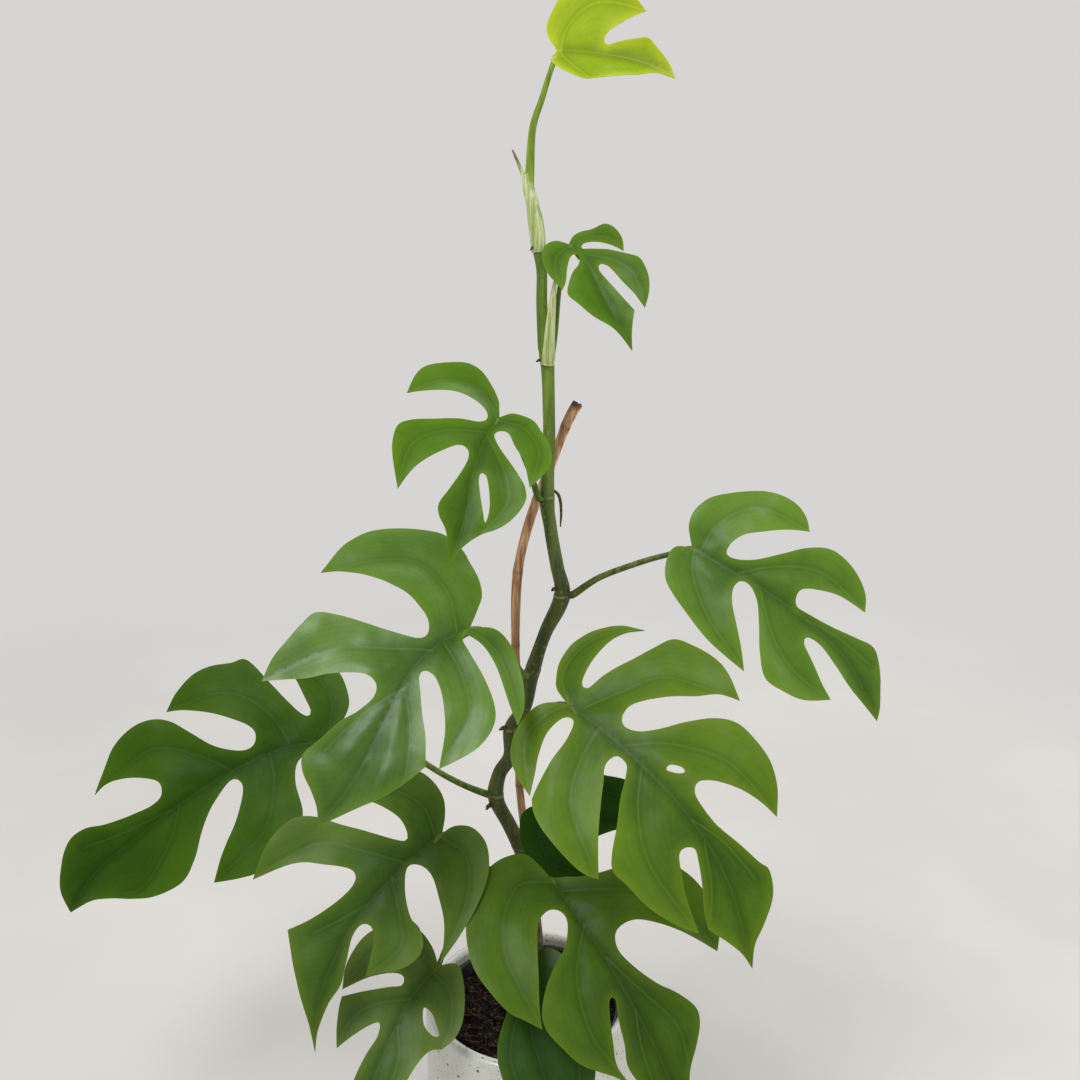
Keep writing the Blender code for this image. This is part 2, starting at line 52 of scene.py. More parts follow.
# -------- driving sizes
POT_RADIUS = 65.0
POT_HEIGHT = 120.0
POT_WALL = 7.0
POT_FLOOR = 7.0
LINER_GAP = 0.6
LINER_WALL = 1.2
LINER_TOP = 114.0
SOIL_TOP = 106.0
CRUMBS = 420             # loose lumps on the soil
FIBRES = 60              # loose fibres on the soil
BLADE_THICKNESS = 0.5
EDGE_STEP = 1.7          # spacing of points along a blade's outline and veins
GRID_STEP = 2.4          # spacing of points inside a blade
ROW_STEP = GRID_STEP * 0.866
FOLD_ROUND = 6.0         # half width of the rounded fold along the midrib
QUILT = 1.9              # rise of the blade between its veins
FLAT_SPREAD = 9.0        # how far from a vein the blade still sinks towards it
WAVE = 1.8               # height of the blade's broad waves
RIPPLE = 0.35            # height of its small ripples
KEEL = 1.5               # height of the midrib under the blade
MIDRIB = 1.3             # half width of the midrib
RIB = 0.8                # half width of a side vein
RIDGE_PERIOD = 3.2       # spacing of the faint veins beside each main one
KNEE = 13.0              # distance of a stalk's swollen knee from its hidden end
CANE_NODES = 46          # spacing of the nodes on the cane

# -------- main stem
# (x, y, z, radius) in mm, from just above the soil to the top node
STEM = [(2, 4, 108.6, 4.9), (4, 8, 130, 4.9), (3, 12, 160, 4.8), (0, 16, 190, 4.7),
        (-4, 18, 210, 4.8), (-12, 18, 228, 4.4), (-20, 18, 246, 4.7), (-18, 19, 262, 4.3),
        (-11, 20, 274, 4.3), (-10, 21, 291, 4.6), (-2, 22, 306, 4.2), (2, 23, 326, 4.5),
        (10, 25, 351, 4.0), (20, 27, 374, 4.6), (17, 28, 393, 4.0), (13, 30, 416, 3.9),
        (11, 31, 432, 4.1), (12, 33, 462, 3.6), (12, 34, 482, 3.5), (11, 36, 512, 3.7),
        (9, 37, 523, 3.3), (8, 38, 545, 3.1), (8, 40, 562, 3.0), (6, 41, 575, 3.2)]
NODE_HEIGHTS = (124, 152, 179, 213, 249, 292, 328, 375, 434, 515, 577)

# old leafless cane standing beside the stem, bent near its cut end
CANE = [(2, 25, SOIL_TOP - 6, 3.0), (2, 25, 109.2, 2.9), (0, 26, 160, 2.7), (-2, 28, 208, 2.5),
        (-6, 31, 248, 2.5), (-6, 33, 289, 2.5), (-8, 36, 343, 2.6), (-7, 38, 381, 2.8),
        (-1, 42, 411, 2.9), (7, 44, 435, 2.7), (13, 44.5, 449, 2.5), (20, 44, 468, 2.6),
        (24.6, 44, 479, 3.1), (29, 43.4, 487, 3.3)]

HANGING_ROOT = [(14.0, 31, 437, 1.3), (16.4, 31, 437, 0.9), (18.6, 31, 433, 0.9),
                (19.4, 31, 425, 0.8), (19, 31.5, 416, 0.4)]

# short root stumps at the nodes: foot, direction, length, radius
ROOT_STUBS = [((-23.5, 15, 243), (-0.8, -0.6, -0.1), 4.0, 1.3),
              ((-13.5, 19, 293), (-1.0, -0.4, 0.2), 5.5, 1.3),
              ((-2.6, 19, 327), (-1.0, -0.5, 0.1), 4.0, 1.3),
              ((16.2, 24.5, 380), (-0.9, -0.6, 0.1), 3.5, 1.2),
              ((9.0, 27, 431), (-0.9, -0.5, 0.1), 2.5, 1.0),
              ((7.6, 34, 513), (-1.0, -0.4, -0.1), 3.5, 0.9),
              ((4.4, 39, 575), (-1.0, -0.4, -0.2), 4.0, 0.7)]

# papery sheaths that wrapped a young leaf: wide at the node, thin at the tip
SHEATH_TOP = [(6.2, 41, 572, 3.5), (5.6, 41, 579, 3.9), (4.5, 41.5, 588, 3.9),
              (3, 42, 597, 3.3), (0.6, 42.6, 606, 2.9), (-0.8, 43, 613.5, 2.0)]
SHEATH_MID = [(11.4, 33.6, 510.5, 3.5), (11.8, 33, 515, 3.5), (12.2, 32.6, 522, 3.2),
              (12.9, 32.2, 533, 2.6), (14.0, 32.4, 545, 1.9), (15.2, 33, 556.5, 0.8)]
BUD_TIP = [(-0.6, 43, 609, 1.7), (-2.6, 43, 614.2, 1.1), (-5, 43, 619, 0.9), (-8, 43, 626, 0.4)]

# -------- leaves
# Leaves are numbered from the top.
# base, tip: ends of the blade's midrib line; face: the way its upper side looks.
# size: scale of the outline, where it isn't 1.
# bow: arch along the midrib; fold: rise of the halves; curl: fall of the lobes.
# edge: outline in mm as "across,along" from the base, "!" marks a sharp point;
# hole: closed window in the blade.  notch: where the stalk joins.
LEAVES = {
    1: dict(
        base=(16, 46, 677), tip=(75, 5, 657), face=(-0.30, -0.73, 0.61),
        bow=4, fold=0.55, curl=0, notch=(0, 0),
        edge="""0,0! 4,-6 8,-11 13,-14 18,-13 24,-10 29,-4 33,7 33,22 29,36 24,46! 18,36 12,29 8,28 6,31
    8,36 11,45 13,53 11,58 6,68 0,75! -2,64 -10,59 -18,51 -25,44 -27,38 -26,30 -22,19 -16,10 -8,3"""),
    2: dict(
        base=(23, 34, 577), tip=(56, -10, 523), face=(-0.16, -0.81, 0.56),
        bow=6, fold=0.25, curl=2, notch=(-0.5, 0.5),
        edge="""-0.5,0.5! -5,-5 -11,-5 -16,0 -19,8 -20,17 -18,31! -14,27 -9,18 -4,11 -1,10 0,14 -3,19
    -9,24 -14,30 -17,36 -15,44 -11,54 -4,64 -1,78! 3,70 10,60! 8,50 6,38 5,29 7,26 10,30 12,42 14,52
    15,62! 21,56 25,48 26,38 23,32 16,22 9,14 4,9 6,6 11,9 16,16 21,27! 24,20 24,10 21,3 15,0 9,-3
    4,-3"""),
    3: dict(
        base=(-15, 8, 485), tip=(-37, -52, 422), face=(0.08, -0.74, 0.67),
        bow=7, fold=0.20, curl=4, notch=(0, 1),
        edge="""0,1! -2,-6 -4,-12 -10,-21 -19,-29 -29,-31 -39,-27 -47,-19 -51,-8 -51,6! -46,2 -38,-3
    -28,-6 -17,-5 -9,-1 -6,5 -9,10 -20,13 -33,19 -43,25 -48,31 -48,40 -45,50 -37,66! -34,56 -30,48
    -22,38 -15,31 -10,31 -8,36 -9,45 -12,57 -15,67 -13,73 -7,80 -1,94! 3,85 11,76! 18,72 24,65 28,55
    26,47 22,42 14,33 6,24 1,16 3,12 8,13 14,22 21,31 28,46! 33,38 35,30 34,22 30,13 25,7 19,0 11,-3
    5,-3""",
        hole="1,43 4,44 8,52 11,62 11,70 8,64 4,55 1,47"),
    4: dict(
        base=(-31, -25, 375), tip=(-105, -96, 292), face=(0.01, -0.77, 0.64),
        bow=12, fold=0.10, curl=9, notch=(1, 2),
        edge="""1,2! -2,-8 -6,-18 -14,-26 -25,-33 -33,-37 -46,-39 -57,-36 -70,-28 -80,-17 -85,-6 -87,5
    -85,23! -79,17 -68,12 -52,8 -38,7 -26,10 -18,14 -14,20 -17,25 -28,29 -44,34 -58,39 -69,45 -71,54
    -72,68 -72,78 -69,90! -60,83 -50,76 -42,68 -33,61 -25,57 -18,58 -15,64 -17,74 -21,83 -24,95
    -27,107 -22,114 -13,119 -6,124 0,131! 6,122 13,112 20,102 26,88 29,78! 20,66 11,57 3,48 -3,41
    -2,37 4,37 12,42 20,50 27,59 35,75! 40,67 45,57 46,46 43,37 35,29 24,22 12,16 3,11 2,7 6,6 14,7
    25,12 35,19 45,27 55,34! 52,24 45,14 36,6 27,-1 17,-5 9,-4"""),
    5: dict(
        base=(-138, 42, 275), tip=(-285, 4, 177), face=(-0.17, -0.81, 0.56), size=1.03,
        bow=12, fold=0.12, curl=8, notch=(6, -6),
        edge="""6,-6! 4,-14 1,-21 -6,-29 -17,-33 -28,-34 -40,-30 -47,-21 -50,-9! -38,-10 -25,-9 -15,-8
    -13,-5 -18,-2 -30,1 -45,4 -66,9 -70,18 -75,30 -76,42 -72,56 -66,66! -60,56 -48,43 -36,33 -27,27
    -20,26 -15,31 -17,39 -28,50 -43,58 -58,66 -66,75 -69,88 -66,103 -58,115 -48,128! -49,118 -44,106
    -36,95 -28,88 -21,90 -19,98 -22,112 -28,130 -34,143 -34,155 -26,166 -14,175 1,177! 5,160 12,147
    20,136 28,122 32,103 25,90 14,80 5,70 -1,60 -4,52 -2,48 4,47 12,52 22,62 33,76 43,87! 50,73
    54,60 53,45 46,31 37,24 20,20 10,14 8,7 13,2 25,0 38,3 50,8! 43,-5 33,-14 20,-17 11,-13"""),
    6: dict(
        base=(-50, -21, 245), tip=(-116, -87, 150), face=(-0.05, -0.81, 0.59), size=0.98,
        bow=10, fold=0.10, curl=7, notch=(0, 0),
        edge="""0,0! 3,-6 9,-10 16,-11 25,-8 32,-1 37,9 40,25 40,43 38,61! 34,51 28,41 19,32 9,24 0,22
    -6,25 -5,31 2,41 11,49 18,51 25,58 25,67 19,76 11,82 5,88! 2,78 -2,68 -7,64 -12,66 -13,74 -9,86
    -5,98 -6,110 -4,126 0,136! -9,126 -20,116 -34,103 -47,89! -39,78 -32,65 -28,53 -29,46 -35,44
    -48,49 -64,57 -81,77! -84,62 -84,48 -79,36 -68,29 -55,26 -40,22 -24,18 -16,15 -17,11 -25,6 -35,5
    -46,6 -56,9 -66,17! -62,2 -54,-12 -42,-21 -30,-24 -19,-22 -10,-17 -4,-9"""),
    7: dict(
        base=(-54, -34, 161), tip=(-98, -89, 114), face=(0.08, -0.67, 0.73), size=1.05,
        bow=5, fold=0.10, curl=4, notch=(-1, -3),
        edge="""-1,-3! 4,-8 9,-9 15,-4 22,5 27,15 28,24 25,32! 20,36 18,45 18,56 19,68 16,81 8,96! -1,84
    -6,70 -8,56 -8,45 -11,39 -15,43 -20,53 -23,61! -29,53 -34,44 -36,39! -28,31 -18,22 -12,17 -14,13
    -20,15 -30,24 -38,36! -44,24 -45,8 -39,-4 -30,-12 -20,-13 -9,-9""",
        hole="5,20 10,20 15,23 20,27 17,29 10,27"),
    8: dict(
        base=(94, 17, 408), tip=(196, -24, 318), face=(0.01, -0.90, 0.43),
        bow=10, fold=0.14, curl=7, notch=(0, 1),
        edge="""0,1! -5,-5 -11,-6 -18,-3 -25,3 -29,12 -32,25 -35,42 -35,55 -34,69! -27,61 -18,49 -10,39
    -3,34 3,34 5,39 1,48 -9,58 -20,68 -29,80 -27,92 -22,104 -11,115! -8,105 -3,92 1,83 5,82 7,90
    5,103 2,117 1,128 0,143! 6,139 15,130 23,121 27,112 24,102 19,88 15,73 14,66 18,62 23,62 29,69
    35,80 38,96! 45,90 50,80 52,68 50,57 42,48 30,40 18,32 11,24 10,18 16,16 25,18 35,26 44,34
    51,43! 56,36 58,26 55,14 48,4 38,-5 28,-11 17,-12 8,-8"""),
    9: dict(
        base=(23, -43, 338), tip=(110, -130, 236), face=(-0.04, -0.78, 0.63),
        bow=14, fold=0.10, curl=10, notch=(-2, 1),
        edge="""-2,1! -2,-9 1,-15 8,-23 18,-28 27,-29 38,-27 50,-21 58,-12! 50,-16 40,-17 28,-14 17,-9
    11,-4 12,0 25,-1 45,1 64,3 72,12 77,25 77,37 73,52! 66,43 55,37 44,30 32,24 24,22 17,25 15,30
    19,36 28,41 42,46 56,53 64,62 66,75 65,88 60,100 52,110! 50,101 45,90 37,80 29,75 24,78 23,86
    24,97 28,110 31,122 33,128 28,138 17,146 7,152 0,160! -1,150 -8,134! -5,126 1,116 6,106 8,100
    4,97 0,98 -4,105 -9,117 -13,133! -20,124 -27,110 -30,96 -32,87 -28,80 -18,70 -9,60 0,52 4,47
    3,41 -1,40 -6,42 -11,48 -18,56 -27,67 -34,77 -40,86! -45,79 -48,68 -50,52 -49,41 -46,34! -40,30
    -28,24 -15,19 -7,14 -5,10 -9,7 -20,9 -30,16 -38,24 -46,32! -46,20 -43,8 -35,-1 -25,-6 -16,-7
    -8,-4""",
        hole="19,61 22,60 26,64 26,67 23,66"),
    10: dict(
        base=(21, -41, 221), tip=(75, -113, 127), face=(0.09, -0.76, 0.64),
        bow=12, fold=0.12, curl=8, notch=(-4, -9),
        edge="""-4,-9! -7,-18 -12,-27 -22,-30 -33,-29 -46,-22 -56,-10 -62,4 -64,18 -61,32 -56,45 -50,52
    -43,60! -40,50 -34,36 -28,22 -22,11 -14,7 -8,10 -7,17 -14,28 -24,35 -33,43 -40,53 -41,62 -37,73
    -32,83 -25,90 -17,97 -10,106! -13,98 -14,91 -11,80 -8,70 -4,62 -1,63 -4,73 -6,84 -9,95 -6,107
    -1,119 8,138! 14,126 20,113 29,102 36,92 37,84 31,74 23,65 16,53 12,42 14,34 20,31 29,32 39,39
    51,51 62,65! 69,54 71,40 68,25 61,14 50,7 38,3 25,1 12,-2 3,-6"""),
    11: dict(
        base=(12, 2, 254), tip=(84, -10, 213), face=(-0.25, -0.80, 0.55),
        bow=5, fold=0.08, curl=3, notch=(-4, 2),
        edge="""-4,2! -8,-6 -16,-9 -25,-5 -31,1 -36,10 -38,20 -36,28 -31,38 -24,50! -20,40 -15,33 -9,32
    -3,36 4,42 12,51 24,68! 31,58 35,46 34,34 29,20 23,8 14,-1 5,-3"""),
    12: dict(
        base=(1, -70, 167), tip=(18, -109, 107), face=(0.03, -0.83, 0.56),
        bow=6, fold=0.12, curl=4, notch=(0, -8),
        edge="""0,-8! -5,-9 -10,-4 -15,4 -20,12 -23,22 -22,34 -18,48 -9,60 4,72! 15,62 24,48 29,34 31,18
    31,2 29,-11 23,-22 15,-26 8,-22 3,-15"""),
}

# stalks: radius at the stem, radius at the blade, points in mm from the node on;
# the last stretch runs to the blade's notch from behind
STALKS = {
    1: (2.2, 1.2, [(1.4, 43.2, 614.8), (3, 43, 637), (8, 43.5, 652), (13, 45, 667)]),
    2: (1.5, 1.1, [(13.4, 33.5, 513), (15.9, 33.5, 530), (17.6, 35, 550), (20.2, 37, 567)]),
    3: (1.8, 1.4, [(6.2, 27.4, 434), (1, 23, 451), (-8, 17, 473)]),
    4: (2.2, 1.7, [(-3.8, 18.6, 328), (-12, 10, 345), (-24, -6, 364)]),
    5: (2.0, 1.7, [(-26, 18.2, 249), (-42, 20, 255), (-62, 26, 264), (-98, 47, 279)]),
    6: (2.0, 1.6, [(-4.8, 11.5, 182), (-20, 6, 200), (-40, -8, 227)]),
    7: (1.6, 1.2, [(-3.2, 7.2, 152), (-20, 0, 176), (-37, -6, 184), (-47, -13, 172)]),
    8: (2.0, 1.5, [(26.2, 26.4, 375.5), (42, 24, 387), (65, 21, 397), (81, 20, 402)]),
    9: (2.4, 1.8, [(-6.4, 15.2, 292), (3, 2, 302), (14, -22, 325)]),
    10: (2.2, 1.8, [(2.5, 7.8, 176), (7, -8, 197), (11, -28, 214)]),
    11: (1.6, 1.3, [(2.3, 16.4, 213), (7, 13, 226), (11, 9, 242)]),
    12: (1.6, 1.3, [(2.6, 0.4, 124), (2, -28, 150), (1, -54, 163)]),
}

# main veins of each blade, "across,along" in mm: first the midrib, then side veins
VEINS = {
    1: """0,0 1,30 2,55 0,75 / 0,3 12,0 24,15 24,46 / 0,2 -9,14 -17,28 -23,40""",
    2: """-0.5,0.5 2,20 0,45 -1,78 / 0,2 -10,6 -16,18 -18,31 / 1,2 10,3 18,12 21,27 / 2,12 12,25 19,42
    15,62 / 8,38 11,48 10,58""",
    3: """0,1 -3,20 -3,45 0,70 -1,94 / -1,3 -15,-15 -35,-15 -51,6 / -4,15 -25,24 -38,40 -37,66 / 1,4
    15,6 27,22 28,46 / -2,18 10,35 19,55 11,76""",
    4: """1,2 -6,20 -8,40 -3,70 2,100 0,131 / -3,8 -25,-10 -55,-12 -85,23 / -6,25 -25,38 -48,55 -69,90
    / 1,3 20,5 40,18 55,34 / -4,18 15,28 32,45 35,75 / -5,50 -14,75 -19,100 / -4,52 10,66 22,85 28,104""",
    5: """6,-6 -5,20 -9,50 -10,80 -9,120 -8,150 1,177 / 5,-8 -15,-22 -35,-20 -50,-9 / -4,12 -30,14
    -55,30 -66,66 / -8,48 -30,62 -50,85 -48,128 / -5,25 15,32 35,50 43,87 / 6,-4 25,-8 40,-2 50,8 /
    -9,85 6,100 18,125 14,140 / -10,90 -16,120 -25,150""",
    6: """0,0 -8,25 -14,50 -16,80 -12,110 0,136 / -2,4 -20,-8 -45,-4 -66,17 / -8,25 -35,32 -60,42
    -81,77 / 0,2 20,5 33,25 38,61 / -12,35 5,52 14,65 5,88 / -15,55 -24,70 -34,84""",
    7: """-1,-3 -4,20 -1,45 4,70 8,96 / -1,2 12,5 22,18 25,32 / -2,0 -20,-4 -35,8 -38,36 / -4,20 -18,32
    -25,45 -23,61 / -2,35 8,48 12,65 13,78""",
    8: """0,1 4,25 9,50 12,80 11,110 0,143 / 0,3 -12,12 -25,35 -34,69 / 7,45 -8,68 -14,90 -11,115 / 2,6
    20,3 42,12 51,43 / 6,30 25,45 38,65 38,96 / 12,75 17,95 19,118""",
    9: """-2,1 5,25 10,50 14,75 15,100 12,125 0,160 / 0,-2 5,-15 20,-23 40,-22 58,-12 / 4,8 25,12 50,20
    73,52 / 9,38 30,52 48,75 52,110 / 0,2 -15,0 -32,5 -46,32 / 5,22 -15,32 -32,50 -40,86 / 12,50 -5,70
    -15,95 -13,133 / 15,88 22,105 25,128 / 14,100 4,120 -6,132""",
    10: """-4,-9 0,20 4,45 7,75 9,100 8,138 / -4,-7 -25,-12 -45,15 -43,60 / 1,22 -15,45 -20,75 -10,106 /
    -2,0 25,12 50,28 62,65 / 4,42 14,65 24,88 22,108 / 7,72 2,90 0,112""",
    11: """-4,2 4,25 15,48 24,68 / -5,0 -20,5 -30,22 -24,48 / -2,6 12,10 22,28 28,55""",
    12: """0,-8 -2,15 1,45 4,72 / 0,-4 -10,8 -16,25 -12,50 / 0,-6 14,-6 22,18 16,50""",
}

# upper side of each blade: dark and light tone, 0 to 255 as seen in even daylight, except leaves 1 and
# 11, which hold painted light and painted shade
TONES = {
    # leaf 1: pale lime of a young leaf, brightened further as painted light shining through the blade
    1: ((112, 140, 8), (168, 190, 40)),
    2: ((50, 88, 4), (84, 122, 16)),
    3: ((48, 84, 4), (82, 120, 16)),
    4: ((44, 80, 8), (84, 120, 30)),
    5: ((32, 64, 2), (60, 92, 10)),
    6: ((44, 74, 12), (80, 108, 32)),
    7: ((54, 84, 24), (92, 118, 52)),
    8: ((52, 88, 12), (92, 128, 32)),
    9: ((46, 78, 6), (88, 118, 22)),
    10: ((42, 70, 4), (76, 106, 18)),
    # leaf 11: darkened as painted shade, as it hangs in the shade behind leaf 9
    11: ((18, 48, 2), (36, 70, 8)),
    12: ((34, 66, 10), (62, 96, 28)),
}

# how waxy the upper side looks, from 0 to 1, where it isn't the usual 0.1
GLOSS = {1: 0.05, 4: 0.34, 5: 0.0, 8: 0.2, 11: 0.0}


# -------- curves and frames
def polar(r, angle):
    return r * cos(angle), r * sin(angle)


def spline(points, step, closed=False):
    """Catmull-Rom curve through the points, sampled about every `step`."""
    count = len(points)
    result = []
    for i in range(count if closed else count - 1):
        p1 = points[i]
        p2 = points[(i + 1) % count]
        p0 = points[i - 1] if (closed or i > 0) else p1
        p3 = points[(i + 2) % count] if (closed or i + 2 < count) else p2
        pieces = max(1, round((p2.xyz - p1.xyz).length / step))
        for j in range(pieces):
            t = j / pieces
            result.append(0.5 * (2 * p1 + (p2 - p0) * t
                                 + (2 * p0 - 5 * p1 + 4 * p2 - p3) * t * t
                                 + (3 * p1 - p0 - 3 * p2 + p3) * t ** 3))
    if not closed:
        result.append(points[-1].copy())
    return result


def frames(path, start):
    """Two axes square to the path at each of its points, turned as little as possible."""
    side = None
    for i in range(len(path)):
        tangent = (path[min(i + 1, len(path) - 1)].xyz - path[max(i - 1, 0)].xyz).normalized()
        if side is None:
            side = tangent.cross(Vector(start)).normalized()
        side = (side - tangent * side.dot(tangent)).normalized()
        yield side, tangent.cross(side)


def read_points(text):
    return [Vector([float(c) for c in item.strip("!").split(",")] + [0.0])
            for item in text.split()]


def read_outline(text):
    """Outline text to a closed list of (across, along): curves between sharp points."""
    points = read_points(text)
    sharp = [i for i, item in enumerate(text.split()) if item.endswith("!")]
    if not sharp:
        return [(p.x, p.y) for p in spline(points, EDGE_STEP, closed=True)]
    result = []
    for a, b in zip(sharp, sharp[1:] + [sharp[0] + len(points)]):
        run = [points[i % len(points)] for i in range(a, b + 1)]
        result += [(p.x, p.y) for p in spline(run, EDGE_STEP)[:-1]]
    return result


def read_vein(text):
    return np.array([(p.x, p.y) for p in spline(read_points(text), EDGE_STEP)])


def inside(points, loop):
    """Even-odd test of many points against one closed loop."""
    x = points[:, 0:1]
    y = points[:, 1:2]
    a = np.array(loop)
    b = np.roll(a, -1, axis=0)
    rise = b[:, 1] - a[:, 1]
    rise = np.where(rise == 0, 1e-12, rise)
    crosses = (a[:, 1] > y) != (b[:, 1] > y)
    left = x < (b[:, 0] - a[:, 0]) * (y - a[:, 1]) / rise + a[:, 0]
    return (np.count_nonzero(crosses & left, axis=1) % 2).astype(bool)


def on_blade(points, loops):
    """Which points lie inside the outline and outside its windows."""
    keep = inside(points, loops[0])
    for hole in loops[1:]:
        keep &= ~inside(points, hole)
    return keep


def distance(points, line):
    """Distance of many points from one open polyline."""
    a = line[:-1]
    d = line[1:] - a
    t = ((points[:, None, :] - a) * d).sum(2) / np.maximum((d * d).sum(1), 1e-9)
    near = a + np.clip(t, 0, 1)[:, :, None] * d
    return np.sqrt(((points[:, None, :] - near) ** 2).sum(2)).min(1)


def search_tree(points):
    tree = KDTree(len(points))
    for i, (u, v) in enumerate(points):
        tree.insert((u, v, 0), i)
    tree.balance()
    return tree


def field(points, size, seed):
    """Smooth noise over flat points, with bumps about `size` wide."""
    return np.array([noise.noise(Vector((u / size, v / size, seed))) for u, v in points])


def skin_noise(angle, radius, z):
    """Smooth noise round a rod, without a seam."""
    return noise.noise(Vector((*polar(radius, angle), z)))


class BladeFrame:
    """Plane of a blade and the bent surface its outline lies on."""

    def __init__(self, leaf):
        self.origin = Vector(leaf["base"])
        along = Vector(leaf["tip"]) - self.origin
        self.size = leaf.get("size", 1.0)
        self.length = along.length / self.size
        self.along = along.normalized()
        face = Vector(leaf["face"])
        self.normal = (face - self.along * face.dot(self.along)).normalized()
        self.across = self.normal.cross(self.along)
        self.leaf = leaf

    def height(self, u, v):
        leaf = self.leaf
        t = v / self.length
        arch = leaf["bow"] * 4 * t * (1 - t)
        if t < 0:
            arch /= 1 - t
        rise = leaf["fold"] * (sqrt(u * u + FOLD_ROUND ** 2) - FOLD_ROUND)
        fall = leaf["curl"] * (u / 60) ** 2 / (1 + abs(u) / 90)
        return arch + rise - fall

    def point(self, u, v, lift=0.0):
        slope_u = self.height(u + 0.5, v) - self.height(u - 0.5, v)
        slope_v = self.height(u, v + 0.5) - self.height(u, v - 0.5)
        tilt = Vector((-slope_u, -slope_v, 1)).normalized() * lift
        w = self.height(u, v) + tilt.z
        return self.origin + self.size * (
            self.across * (u + tilt.x) + self.along * (v + tilt.y) + self.normal * w)


# -------- material helpers
def linear(rgb):
    """Screen colour, 0 to 255, as scene-linear red, green, blue, alpha."""
    def channel(c):
        c /= 255
        return c / 12.92 if c <= 0.04045 else ((c + 0.055) / 1.055) ** 2.4
    return (*(channel(c) for c in rgb), 1.0)


class Surface:
    """A node material with short ways to add and join nodes."""

    def __init__(self, name, roughness=0.5, coat=0.0, specular=0.5):
        self.material = bpy.data.materials.new(name)
        self.material.use_nodes = True
        self.tree = self.material.node_tree
        self.shader = self.tree.nodes["Principled BSDF"]
        for key, value in (("Roughness", roughness), ("Coat Weight", coat),
                           ("Coat Roughness", 0.25), ("Specular IOR Level", specular)):
            self.shader.inputs[key].default_value = value
        self.place = self.add("ShaderNodeTexCoord").outputs["Object"]

    def add(self, kind, inputs=(), **settings):
        node = self.tree.nodes.new(kind)
        for key, value in settings.items():
            setattr(node, key, value)
        for key, value in dict(inputs).items():
            self.feed(node.inputs[key], value)
        return node

    def feed(self, socket, value):
        if isinstance(value, bpy.types.NodeSocket):
            self.tree.links.new(value, socket)
        else:
            socket.default_value = value

    def attribute(self, name):
        return self.add("ShaderNodeAttribute", attribute_name=name).outputs["Fac"]

    def height(self):
        return self.add("ShaderNodeSeparateXYZ", {0: self.place}).outputs[2]

    def veins(self):
        """Distance from the side veins and the midrib, and faint waves beside the veins."""
        rib = self.attribute("rib")
        return rib, self.attribute("mid"), self.maths("COSINE", self.times(rib, TURN / RIDGE_PERIOD))

    def grain(self, scale, detail=3.0, rough=0.55, stretch=None):
        """Noise; stretch, below 1, draws it out along Z."""
        where = self.place
        if stretch:
            where = self.add("ShaderNodeMapping",
                             {"Vector": where, "Scale": (1, 1, stretch)}).outputs[0]
        return self.add("ShaderNodeTexNoise", {"Vector": where, "Scale": scale, "Detail": detail,
                                               "Roughness": rough}).outputs[0]

    def cells(self, scale, channel):
        """Distance from the nearest cell centre, and one random number for each cell."""
        node = self.add("ShaderNodeTexVoronoi", {"Vector": self.place, "Scale": scale})
        split = self.add("ShaderNodeSeparateColor", {0: node.outputs["Color"]})
        return node.outputs["Distance"], split.outputs[channel]

    def maths(self, operation, a, b=0.0, clamp=False):
        return self.add("ShaderNodeMath", {0: a, 1: b}, operation=operation,
                        use_clamp=clamp).outputs[0]

    def times(self, a, b):
        return self.maths("MULTIPLY", a, b)

    def plus(self, a, b, share=1.0, clamp=False):
        """a with a share of b added."""
        return self.maths("ADD", a, b if share == 1.0 else self.times(b, share), clamp)

    def ramp(self, value, low, high, start=0.0, end=1.0):
        """value from low..high to start..end, clamped and smooth."""
        return self.add("ShaderNodeMapRange", {
            "Value": value, "From Min": low, "From Max": high, "To Min": start,
            "To Max": end}, interpolation_type="SMOOTHSTEP").outputs[0]

    def mix(self, factor, a, b):
        return self.add("ShaderNodeMix", {0: factor, 6: a, 7: b},
                        data_type="RGBA").outputs[2]

    def blend(self, value, dark, light, low=0.3, high=0.7):
        """From the dark to the light colour as value goes from low to high."""
        return self.mix(self.ramp(value, low, high), linear(dark), linear(light))

    def cover(self, share, rgb):
        """Draw the surface's colour towards rgb."""
        self.colour = self.mix(share, self.colour, linear(rgb))

    def tint(self, rgb, value, low, high, start=0.0, end=1.0):
        """Draw the colour towards rgb, by start..end as value goes from low to high."""
        self.cover(self.ramp(value, low, high, start, end), rgb)

    def finish(self, bump=None, depth=0.0003, strength=0.5, roughness=None):
        self.feed(self.shader.inputs["Base Color"], self.colour)
        if roughness:
            self.feed(self.shader.inputs["Roughness"], roughness)
        if bump:
            node = self.add("ShaderNodeBump", {"Height": bump, "Distance": depth,
                                               "Strength": strength})
            self.feed(self.shader.inputs["Normal"], node.outputs[0])
        return self.material


